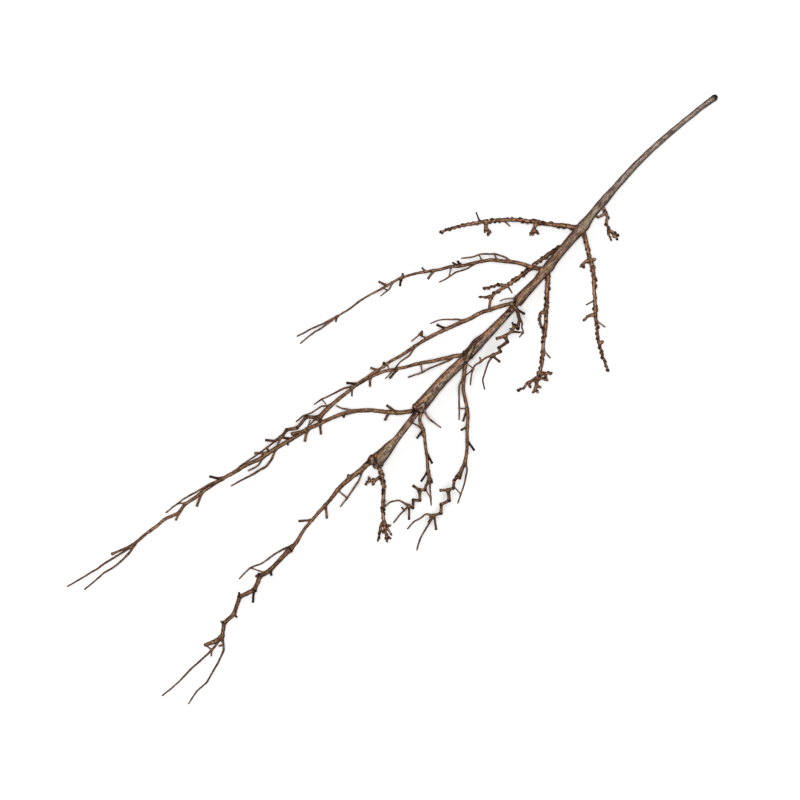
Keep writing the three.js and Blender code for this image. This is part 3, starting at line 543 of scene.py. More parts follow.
def lead(route, high, radius, **more):
    """The limb that a twig starts with: its route, its heights and its radii."""
    return dict(route=route, high=high, radius=radius, **more)


def twig_skins(limbs, knobbly, seed):
    """The closed skins of all the limbs of a twig."""
    lines = twig_lines(limbs, knobbly, seed)
    joints = [[] for _ in limbs]
    hosts = [1.0] * len(limbs)
    for index, limb in enumerate(limbs):
        for word, end in (("off", 0), ("to", -1)):
            if word not in limb:
                continue
            host = lines[limb[word]]
            gap = np.linalg.norm(host - lines[index][end], axis=1)
            nearest = int(np.argmin(gap))
            far = distances(host)
            joints[limb[word]].append((far[nearest], limb["radius"][end]))
            if word == "off":
                hosts[index] = float(spread(limbs[limb["off"]]["radius"], far[nearest] / far[-1]))
    skins = [limb_skin(limb, lines[i], seed + 7 * i, knobbly, hosts[i], joints[i])
             for i, limb in enumerate(limbs)]
    for index, limb in enumerate(limbs):
        if knobbly and limb.get("end") != "blunt":
            skins += bud_skins(limb, lines[index], seed + 13 * index)
        if limb.get("zigzag"):
            skins += corner_skins(limb, lines[index], seed + 13 * index)
    return skins


def tone(red, green, blue):
    """A colour as the eye sees it, 0 to 255, in the values that a shader takes."""
    def linear(v):
        v = v / 255
        return v / 12.92 if v <= 0.04045 else ((v + 0.055) / 1.055) ** 2.4
    return (linear(red), linear(green), linear(blue), 1.0)


def new_group(name, takes, gives):
    """A node group with its sockets, and the nodes of its two ends."""
    tree = bpy.data.node_groups.new(name, "ShaderNodeTree")
    for label, kind, value in takes:
        socket = tree.interface.new_socket(label, in_out="INPUT", socket_type=kind)
        if value is not None:
            socket.default_value = value
    for label, kind in gives:
        tree.interface.new_socket(label, in_out="OUTPUT", socket_type=kind)
    return tree, tree.nodes.new("NodeGroupInput"), tree.nodes.new("NodeGroupOutput")


def stretched(tree, vector, scale):
    """The place on the bark, drawn out along the limb."""
    node = tree.nodes.new("ShaderNodeVectorMath")
    node.operation = "MULTIPLY"
    tree.links.new(vector, node.inputs[0])
    node.inputs[1].default_value = scale
    return node.outputs[0]


def grain_noise(tree, vector, scale, detail=3.0, roughness=0.55):
    """Noise over the bark, about 0.5 on average."""
    node = tree.nodes.new("ShaderNodeTexNoise")
    tree.links.new(vector, node.inputs["Vector"])
    node.inputs["Scale"].default_value = scale
    node.inputs["Detail"].default_value = detail
    node.inputs["Roughness"].default_value = roughness
    return node.outputs[0]


def band(tree, value, low, high, most=1.0):
    """A soft mask: 0 below low, most above high."""
    node = tree.nodes.new("ShaderNodeMapRange")
    node.interpolation_type = "SMOOTHSTEP"
    tree.links.new(value, node.inputs[0])
    for index, number in enumerate((low, high, 0.0, most)):
        node.inputs[index + 1].default_value = number
    return node.outputs[0]


def sums(tree, how, one, two):
    """One step of arithmetic between two values or sockets."""
    node = tree.nodes.new("ShaderNodeMath")
    node.operation = how
    for index, value in enumerate((one, two)):
        if isinstance(value, (int, float)):
            node.inputs[index].default_value = value
        else:
            tree.links.new(value, node.inputs[index])
    return node.outputs[0]


def blend(tree, mask, under, over, how="MIX"):
    """One colour laid over another where the mask lets it."""
    node = tree.nodes.new("ShaderNodeMix")
    node.data_type = "RGBA"
    node.blend_type = how
    tree.links.new(mask, node.inputs[0])
    for index, value in ((6, under), (7, over)):
        if isinstance(value, tuple):
            node.inputs[index].default_value = value
        else:
            tree.links.new(value, node.inputs[index])
    return node.outputs[2]


# How strong the painted shade on the flanks of the limbs is
FLANK_SHADE = 0.96
# The near-black tone of all painted shade and of the bark's own dark marks
SHADE_AND_DARK_TONE = (0.016, 0.006, 0.003, 1.0)
BUMP_STRENGTH = 0.8
BUMP_DEPTH = 0.0006
BARK_SHINE = 0.08


def make_bark_tones():
    """The shared colouring of the bark: long streaks, patches, flecks, the marked places and painted
    shade on the flanks.
    """
    colour = "NodeSocketColor"
    number = "NodeSocketFloat"
    tree, taken, given = new_group(
        "bark tones",
        [("Place", "NodeSocketVector", None), ("Up", number, 1.0), ("Dark", number, 0.0),
         ("Pale", number, 0.0),
         ("Deep tone", colour, None), ("Body tone", colour, None), ("Warm tone", colour, None),
         ("Light tone", colour, None), ("Patch tone", colour, None), ("Warm share", number, 0.5),
         ("Light share", number, 0.5), ("Speck share", number, 0.5), ("Across", number, 0.0),
         ("Sided share", number, 0.0), ("Shade rim", number, 0.1)],
        [("Colour", colour), ("Height", number), ("Roughness", number)])
    spot, up, dark = (taken.outputs[label] for label in ("Place", "Up", "Dark"))
    streak = grain_noise(tree, stretched(tree, spot, (1, 1, 0.13)), 0.85, 5, 0.62)
    broad = grain_noise(tree, stretched(tree, spot, (1, 1, 0.3)), 0.3)
    patch = grain_noise(tree, stretched(tree, spot, (1.2, 1.2, 0.22)), 0.26, 4, 0.6)
    fleck = grain_noise(tree, stretched(tree, spot, (1, 1, 0.6)), 0.6, 4, 0.6)
    fine = grain_noise(tree, stretched(tree, spot, (1, 1, 0.35)), 4.5, 3, 0.6)
    cloud = grain_noise(tree, stretched(tree, spot, (1, 1, 0.25)), 0.42)
    length = grain_noise(tree, stretched(tree, spot, (0.12, 0.12, 0.045)), 1.0, 2)
    grime = grain_noise(tree, stretched(tree, spot, (1, 1, 0.5)), 0.38)
    patchy = sums(tree, "ADD", taken.outputs["Pale"], sums(tree, "MULTIPLY", fleck, 1.3))
    wander = sums(tree, "MULTIPLY", sums(tree, "SUBTRACT", patch, 0.5), 3.0)
    leaning = sums(tree, "ADD", taken.outputs["Across"], wander)
    tint = blend(tree, band(tree, streak, 0.4, 0.58), taken.outputs["Deep tone"],
                 taken.outputs["Body tone"])
    # Each layer of paint: where it lies, from low to high, how strong, its share and its tone
    for value, low, high, most, share, label in (
            (broad, 0.47, 0.55, 1.0, "Warm share", "Warm tone"),
            (patch, 0.48, 0.57, 1.0, "Light share", "Light tone"),
            (patchy, 0.85, 1.25, 0.8, None, "Patch tone"),
            (leaning, 0.3, 0.7, 1.0, "Sided share", "Warm tone"),
            (leaning, -0.35, -0.75, 1.0, "Sided share", "Patch tone"),
            (cloud, 0.53, 0.6, 1.0, "Sided share", "Deep tone"),
            (length, 0.53, 0.62, 0.5, "Speck share", "Patch tone"),
            (length, 0.47, 0.4, 0.6, "Speck share", "Deep tone"),
            (fleck, 0.53, 0.62, 1.0, "Speck share", "Deep tone"),
            (fleck, 0.46, 0.37, 0.75, None, "Light tone"),
            (grime, 0.53, 0.6, 1.0, "Speck share", "Deep tone")):
        mask = band(tree, value, low, high, most)
        if share:
            mask = sums(tree, "MULTIPLY", mask, taken.outputs[share])
        tint = blend(tree, mask, tint, taken.outputs[label])
    # Painted shade: a surface is darkened toward near black as it turns from the top to the flanks, less
    # so underneath; Shade rim widens the band
    turned = sums(tree, "ADD", up, sums(tree, "MULTIPLY", streak, 0.7))
    turned = sums(tree, "SUBTRACT", turned, taken.outputs["Shade rim"])
    shaded = sums(tree, "SUBTRACT", 1.0, band(tree, turned, 0.84, 1.42))
    beneath = sums(tree, "SUBTRACT", 1.0, band(tree, up, 0.32, -0.1, 0.85))
    painted_shade = sums(tree, "MULTIPLY", sums(tree, "MULTIPLY", shaded, beneath), FLANK_SHADE)
    tint = blend(tree, painted_shade, tint, SHADE_AND_DARK_TONE)
    tint = blend(tree, band(tree, fine, 0.35, 0.7, 0.12), tint, taken.outputs["Light tone"])
    # The dark marks: painted shade in holes, sockets and mouths, and the bark's own dark scars, cut ends
    # and buds
    tint = blend(tree, band(tree, dark, 0.15, 0.92), tint, SHADE_AND_DARK_TONE)
    tree.links.new(tint, given.inputs["Colour"])
    raised = sums(tree, "ADD", sums(tree, "MULTIPLY", streak, 0.6), sums(tree, "MULTIPLY", fine, 0.25))
    raised = sums(tree, "SUBTRACT", raised, sums(tree, "MULTIPLY", dark, 0.4))
    raised = sums(tree, "ADD", raised, sums(tree, "MULTIPLY", fleck, 0.3))
    tree.links.new(raised, given.inputs["Height"])
    rough = band(tree, fleck, 0.3, 0.7, 0.25)
    tree.links.new(sums(tree, "ADD", rough, 0.68), given.inputs["Roughness"])
    return tree


bark_tones = make_bark_tones()


def bark_material(name, tones, warm, light, speck, shade_rim, sided=0.0, shift=None):
    """A bark material: the shared colouring with its own tones, bump and gloss."""
    material = bpy.data.materials.new(name)
    material.use_nodes = True
    tree = material.node_tree
    shader = next(node for node in tree.nodes if node.type == "BSDF_PRINCIPLED")
    girth, run, marks = (tree.nodes.new("ShaderNodeUVMap") for _ in range(3))
    girth.uv_map, run.uv_map, marks.uv_map = "girth", "run", "marks"
    split = [tree.nodes.new("ShaderNodeSeparateXYZ") for _ in range(3)]
    for node, source in zip(split, (girth, run, marks)):
        tree.links.new(source.outputs[0], node.inputs[0])
    where = tree.nodes.new("ShaderNodeCombineXYZ")
    tree.links.new(split[0].outputs[0], where.inputs[0])
    tree.links.new(split[0].outputs[1], where.inputs[1])
    tree.links.new(split[1].outputs[0], where.inputs[2])
    bark = tree.nodes.new("ShaderNodeGroup")
    bark.node_tree = bark_tones
    tree.links.new(where.outputs[0], bark.inputs["Place"])
    facing, lie = tree.nodes.new("ShaderNodeTexCoord"), tree.nodes.new("ShaderNodeSeparateXYZ")
    tree.links.new(facing.outputs["Normal"], lie.inputs[0])
    unit, across = tree.nodes.new("ShaderNodeVectorMath"), tree.nodes.new("ShaderNodeSeparateXYZ")
    unit.operation = "NORMALIZE"
    tree.links.new(girth.outputs[0], unit.inputs[0])
    tree.links.new(unit.outputs[0], across.inputs[0])
    own_top = sums(tree, "MULTIPLY", across.outputs[1], 0.9)
    tree.links.new(sums(tree, "MAXIMUM", lie.outputs[2], own_top), bark.inputs["Up"])
    tree.links.new(across.outputs[0], bark.inputs["Across"])
    tree.links.new(split[2].outputs[0], bark.inputs["Dark"])
    tree.links.new(split[2].outputs[1], bark.inputs["Pale"])
    for label, colour in zip(("Deep tone", "Body tone", "Warm tone", "Light tone", "Patch tone"), tones):
        bark.inputs[label].default_value = colour
    for label, number in (("Warm share", warm), ("Light share", light), ("Speck share", speck),
                          ("Sided share", sided), ("Shade rim", shade_rim)):
        bark.inputs[label].default_value = number
    tint = bark.outputs["Colour"]
    if shift:
        tint = blend(tree, band(tree, split[1].outputs[1], *shift[:3]), tint, shift[3], "MULTIPLY")
    tree.links.new(tint, shader.inputs["Base Color"])
    tree.links.new(bark.outputs["Roughness"], shader.inputs["Roughness"])
    lift = tree.nodes.new("ShaderNodeBump")
    lift.inputs["Strength"].default_value = BUMP_STRENGTH
    lift.inputs["Distance"].default_value = BUMP_DEPTH
    tree.links.new(bark.outputs["Height"], lift.inputs["Height"])
    tree.links.new(lift.outputs[0], shader.inputs["Normal"])
    shader.inputs["Specular IOR Level"].default_value = BARK_SHINE
    return material


bark_grey = bark_material(
    "bark_grey", [tone(44, 31, 27), tone(130, 114, 103), tone(156, 112, 84), tone(168, 154, 145),
                  tone(146, 138, 110)], warm=0.4, light=0.75, speck=0.4, shade_rim=0.06, sided=0.4,
    shift=(0.45, 0.95, 0.95, (1.0, 0.76, 0.58, 1.0)))
LOWER_COLLARS = [(604.5, 211, 7, 1.8), (576, 228, 10, 2.8), (585, 238, 10, 2.7), (558, 247.5, 8, 2.5),
                 (548, 277, 9, 2.7), (539, 268.5, 15.5, 2.8), (512, 302, 22.5, 3.1)]
LOWER_LIMB = [lead([(514, 298.5), (505, 299), (500, 301)], [20, 22, 21], [1.4, 0.9], end="point")]


def laid(spots):
    """The collars of a sleeve, from x, y, height and size, with each place in mm."""
    return [(place(x, y, height), size) for x, y, height, size in spots]


bark_piece("stem_lower", [stem_skin(LOWER_ROUTE, LOWER_HIGH, 3, LOWER_MARKS, laid(LOWER_COLLARS))]
           + twig_skins(LOWER_LIMB, False, 907), bark_grey)

# The three further sleeves of the stem
# Browner mouldings of the same bark, each pushed into the mouth of the one before. They are
# painted in long bands, orange brown on one flank, lilac grey in the middle and olive below.

SECOND_ROUTE = [(522, 297, 4.6), (510, 311, 5.2), (500, 322, 5.6), (488, 334.5, 6.5), (477.5, 344.5, 8),
                (467.5, 355.2, 8.2)]
SECOND_MARKS = [(475, 341, 14, 8, 1.7, 0.3, 0), (472, 348, 22, 3.4, 2, 0.5, 0.6),
                (507, 311.5, 18, 3.6, -0.6, 1, 0), (478, 340, 21, 5, 0.2, 0.7, 0),
                (513.5, 304.5, 18, 5, 0, 1, 0), (487, 331, 17, 2.4, 0.2, 0.8, 0),
                (497, 325, 19, 2.6, 0.4, 0.7, 0), (505, 318, 18, 2.4, 0.5, 0, 0.7)]
SECOND_COLLARS = [(460.5, 355.5, 16.5, 2.9), (465.3, 364, 13, 2.8)]
THIRD_ROUTE = [(473, 350.5, 6.2), (460, 364, 7.4), (447, 376, 7.7), (438, 386, 7.9), (431, 394, 8.6),
               (418, 409, 10.2)]
THIRD_MARKS = [(447, 378, 21.5, 4.6, 1.4, 0, 1), (448, 377, 23, 1.8, -0.9, 1, 0),
               (437, 388, 21, 3, 0.2, 0.8, 0), (456, 368, 21, 2.6, 0.4, 0, 0.6),
               (428, 398, 22, 3, 0.5, 0.6, 0), (425, 402, 20, 4, 1.6, 0, 0.5),
               (463.5, 359.5, 18, 5, 0, 0.9, 0), (460, 371, 17, 3.4, 0, 0.8, 0)]
THIRD_COLLARS = [(410.5, 411, 15, 2.9), (421, 413, 18, 2.4)]
END_ROUTE = [(422, 404.5, 4.2), (412, 419, 4.6), (405, 428, 5), (396, 440, 5.4), (390, 446, 7.4),
             (383, 455, 9.7), (375, 462, 11.2)]
END_MARKS = [(371.5, 460, 20, 5, 3, 0, 1), (371.5, 460, 24, 2, 0.6, 0.5, 0),
             (381, 459, 17, 5.5, 2.6, 0, 0.3), (388, 446, 20, 7, 0, 0, 0.9), (379, 455, 24, 8, 0, 0, 0.8),
             (391, 452, 18, 5, 0.3, 0.6, 0), (402, 432, 17, 2.4, 0.4, 0, 0.6),
             (404, 428, 18, 7, 0, 0.45, 0), (411, 420, 18, 6, 0, 0.55, 0),
             (414, 414, 16, 5, 0, 0.95, 0), (366.8, 462, 20, 2, 0, 1, 0), (414.5, 411, 16, 5, 0, 1, 0)]
END_COLLARS = [(379, 468, 9.5, 2.6), (367.5, 463.5, 13, 2.9)]


def knuckle(start, end, size, seed):
    """A round knuckle of bark that stands out of a sleeve from one point toward another."""
    root, crest = place(*start), place(*end)
    out = (crest - root) / np.linalg.norm(crest - root)
    reach = BUD_SHAPE[-1][0] * size
    way = np.cross(out, [0.3, 0.5, 0.8])
    return bud_skin(crest - out * reach, out, way, size, seed)


bark_brown = bark_material(
    "bark_brown", [tone(34, 20, 20), tone(126, 98, 80), tone(210, 122, 54), tone(172, 152, 144),
                   tone(160, 144, 102)], warm=0.5, light=0.85, speck=0.7, shade_rim=0.05, sided=0.75)
SECOND_RIDGES = [([(474, 343, 22), (471, 350, 22), (468.5, 356, 20)], 1.8, 1.5, 0.9, 0.6),
                 ([(480, 339, 21), (471, 345.5, 23), (464, 353, 20)], 1.2, 0.6, 0.8, 0)]
THIRD_RIDGES = [([(424, 404, 21), (419, 407, 22), (414, 409, 18)], 1.8, 1.2, 0.9, 0.5),
                ([(470, 354, 20), (467.5, 360, 20), (466, 366, 17)], 2.0, 1.6, 0.9, 0.8)]
END_RIDGES = [([(376, 453, 19), (375.5, 459, 22), (377, 465, 21), (378, 470, 16)], 1.6, 1.0, 0.8, 0.7),
              ([(368, 457, 20), (371.5, 455.5, 22), (375, 459, 23), (374, 464, 22), (369, 465, 20)],
               1.0, 0.7, 0.8, 0.3)]
THIRD_LIMB = [lead([(423, 401), (424, 411), (429, 419), (440, 427)], [20, 24, 22], [2.1, 1.5, 1.1],
                   end="point", spots=[(433, 421, 9, 0.7, 0)])]
# Round knuckles at the mouths: from, to and size
SECOND_KNUCKLES = [((470, 353, 12), (462.5, 353.5, 19), 3.6), ((472, 356, 12), (469, 357, 21), 3.0)]
THIRD_KNUCKLES = [((421, 406, 12), (417, 412, 20.5), 3.4), ((419, 410, 10), (421.5, 414.5, 16), 3.0),
                  ((417, 406, 12), (413.5, 409, 20), 3.2)]
END_KNUCKLES = [((376, 459, 12), (369.5, 461, 21.5), 4.9), ((378, 460, 10), (375, 468.5, 13), 4.2),
                ((380, 460, 10), (380.5, 468, 14), 3.6)]
for name, route, seed, marks, collars, ridges, limbs, knuckles in (
        ("stem_second", SECOND_ROUTE, 17, SECOND_MARKS, SECOND_COLLARS, SECOND_RIDGES, [],
         SECOND_KNUCKLES),
        ("stem_third", THIRD_ROUTE, 29, THIRD_MARKS, THIRD_COLLARS, THIRD_RIDGES, THIRD_LIMB,
         THIRD_KNUCKLES),
        ("stem_end", END_ROUTE, 43, END_MARKS, END_COLLARS, END_RIDGES, [], END_KNUCKLES)):
    skins = [stem_skin(route, [13, 13.2, 13], seed, marks, laid(collars), ridges)]
    skins += [knuckle(*one, seed + 3 * i) for i, one in enumerate(knuckles)]
    bark_piece(name, skins + twig_skins(limbs, False, seed + 900), bark_brown)

# The knobbly twigs
# Six short twigs, each moulded in one with close-set buds on its two sides in turn. They are
# pinkish brown with nearly black hollows, and fork into a few bristly points at the tip.


def shoot(off, route, rise, radius, **more):
    """A limb that grows from another one, by its number in the twig, and rises over it."""
    return dict(off=off, route=route, rise=rise, radius=radius, **more)


def stub(off, route, rise, root, tip, **more):
    """A short shoot with a cut end, with its radii at the root and the tip."""
    return shoot(off, route, [0, rise], [root, tip], end="blunt", **more)


def tie(off, to, route, root, tip, **more):
    """A thin bridge from one limb to another."""
    return dict(off=off, to=to, route=route, radius=[root, tip], **more)


def with_nubs(limbs, nubs, end):
    """The limbs of a twig and its short nubs: host limb, root, tip and radius of each."""
    return limbs + [shoot(host, [root, tip], [0, 1.5], [size, 0.9 * size], end=end)
                    for host, root, tip, size in nubs]


KNOBBLY = {
    "twig_a": [
        lead([(602.5, 205.5), (605, 212), (608, 217), (606, 223), (608, 228), (610, 231), (617, 239)],
             [8, 6, 4, 3], [2.1, 1.2]),
        shoot(0, [(610, 231), (614, 233), (618, 235)], [0, 2], [1.2, 0.9]),
        shoot(0, [(607, 229), (608, 234), (611, 240)], [0, -1], [1.2, 0.9]),
        shoot(0, [(605, 213), (600, 217.5), (597, 217)], [0, 2], [1.4, 1]),
    ],
    "twig_b": [
        lead([(580.5, 227.5), (577, 228), (565, 226), (555, 225), (545, 224), (535, 222), (525, 221),
             (515, 220), (505, 220), (495, 220.5), (485, 221.5), (475, 223.5), (465, 225), (455, 227.5),
             (447, 229.5), (441, 232)], [10, 10, 8, 4.5, 1.4], [3.1, 2.7, 2.4, 2.1, 1.6]),
        shoot(0, [(537, 223), (534, 228), (533, 234)], [0, 2], [1.9, 1.3]),
        stub(0, [(504, 221), (510, 226.5)], -1, 1.1, 0.8),
        shoot(0, [(486, 222), (486, 226), (485, 231)], [0, 2], [1.7, 1.3]),
        shoot(3, [(486, 228), (490, 232)], [0, 1], [1.3, 1]),
        stub(0, [(480, 222), (476, 212.5)], 4, 1.1, 0.8),
    ],
    "twig_c": [
        lead([(583.5, 231.5), (586, 243), (588, 250), (589, 257), (593, 270), (594, 280), (594, 290),
             (595, 300), (595, 310), (596, 320), (597, 330), (598, 340), (600, 347), (602, 355),
             (604, 361), (608, 370)], [10, 9, 7, 4, 1.4], [2.9, 2.5, 2.2, 1.9, 1.5]),
        shoot(0, [(590, 261), (586, 261), (581, 266)], [0, 2], [1.7, 1.2]),
        stub(0, [(595, 300), (586, 305)], 4, 1.1, 0.8),
        shoot(0, [(595, 315), (589, 315), (584, 320)], [0, 2], [1.6, 1.1]),
        stub(0, [(597, 321), (605, 327)], 2, 1.1, 0.8),
    ],
    "twig_d": [
        # The dark spots near its root are painted shadow, where it runs beside and below the stem
        lead([(564, 246.5), (560, 246.5), (548, 255), (541, 260), (535, 264), (529, 270), (522, 275),
             (515, 280), (505, 287), (495, 293), (491, 297)], [8, 6, 4, 3.5], [2.6, 2.4, 1.9],
             spots=[(556, 249, 12, 0.85, 0), (546, 257, 10, 0.6, 0)]),
        shoot(0, [(491, 296), (487, 297), (480, 297)], [0, 1], [1.5, 1]),
        shoot(0, [(491, 296), (490, 302), (489, 309)], [0, 0], [1.5, 1]),
        shoot(0, [(506, 286), (498, 284.5), (489, 288), (484, 288)], [0, 2], [1.5, 1]),
        stub(0, [(507, 285), (512, 293)], 2, 1.1, 0.8),
    ],
    "twig_e": [
        lead([(548, 271), (548, 280), (547, 290), (547, 300), (546, 310), (546, 320), (545, 330),
             (543, 345), (542, 364), (537, 380)], [9, 8, 6, 5, 4.5], [2.9, 2.6, 2.3, 1.9]),
        shoot(0, [(546, 312), (541, 312), (539, 315), (541, 327)], [0, 3, 3], [1.6, 1.1]),
        stub(0, [(543, 350), (550, 358)], 2, 1.1, 0.8),
        shoot(0, [(540, 375), (545, 373.5), (551, 373)], [0, 2], [1.6, 1.1]),
        shoot(0, [(538, 379), (544, 378), (547, 380)], [0, 0], [1.4, 1]),
        shoot(0, [(538, 378), (531, 381), (525, 384), (526, 387), (518, 390)], [0, 1, -1], [1.7, 1]),
        shoot(0, [(537, 379), (536, 388), (533, 392)], [0, -1.5], [1.6, 1.1]),
    ],
    "twig_f": [
        lead([(378, 462.5), (379, 467), (381, 472), (384, 485), (384, 492), (383, 499), (383, 512),
             (384, 523)], [10, 8, 5, 3.5], [2.7, 2.3, 1.9]),
        shoot(0, [(384, 522), (380, 526), (380, 531), (378, 540)], [0, -1], [1.6, 1]),
        shoot(0, [(384, 521), (385, 530), (387, 541)], [0, 2], [1.7, 1]),
        shoot(0, [(384, 523), (388, 529), (391, 534)], [0, -1], [1.4, 1]),
        shoot(0, [(382, 476), (376, 479), (373, 484)], [0, 2], [1.6, 1.1]),
        shoot(4, [(376, 479.5), (369, 481), (366, 484)], [0, 1], [1.3, 1]),
    ],
}

KNOBBLY_NUBS = {
    "twig_b": [(1, (533.5, 230), (531, 234), 1.4), (1, (533.5, 230), (537, 233), 1.4),
               (4, (489, 231), (488, 234.5), 1.2), (0, (512, 220.5), (512, 219.3), 1.3),
               (0, (499, 220.5), (499, 219.8), 1.3)],
    "twig_c": [(0, (590.5, 261), (593.5, 260), 1.5), (1, (582.5, 264.5), (584, 267), 1.1),
               (0, (599, 343.5), (601, 342.5), 1.5)],
    "twig_e": [(6, (536.5, 386), (539.5, 387), 1.3), (6, (534.5, 389), (537, 391.5), 1.2),
               (5, (528, 383), (530, 386.5), 1.2), (3, (545, 374), (546, 378.5), 1.2)],
    "twig_f": [(1, (380.5, 530), (383.5, 532), 1.2), (2, (386, 537), (389.5, 538), 1.2),
               (3, (386, 526.5), (389.5, 525.5), 1.2), (5, (369.5, 481), (369, 478), 1.2)],
}

bark_knobbly = bark_material(
    "bark_knobbly", [tone(30, 12, 7), tone(128, 78, 50), tone(196, 112, 50), tone(210, 160, 128),
                     tone(166, 126, 84)], warm=0.55, light=0.85, speck=0.98, shade_rim=0.17)
for place_in_row, (name, limbs) in enumerate(KNOBBLY.items()):
    limbs = with_nubs(limbs, KNOBBLY_NUBS.get(name, []), "point")
    bark_piece(name, twig_skins(limbs, True, 101 + 211 * place_in_row), bark_knobbly)

# The smooth twigs
# Seven long twigs with smooth red-brown bark, olive at the joints. The side shoots are blunt
# stubs and thin tendrils, and some twigs open in a mouth that holds a zigzag length.

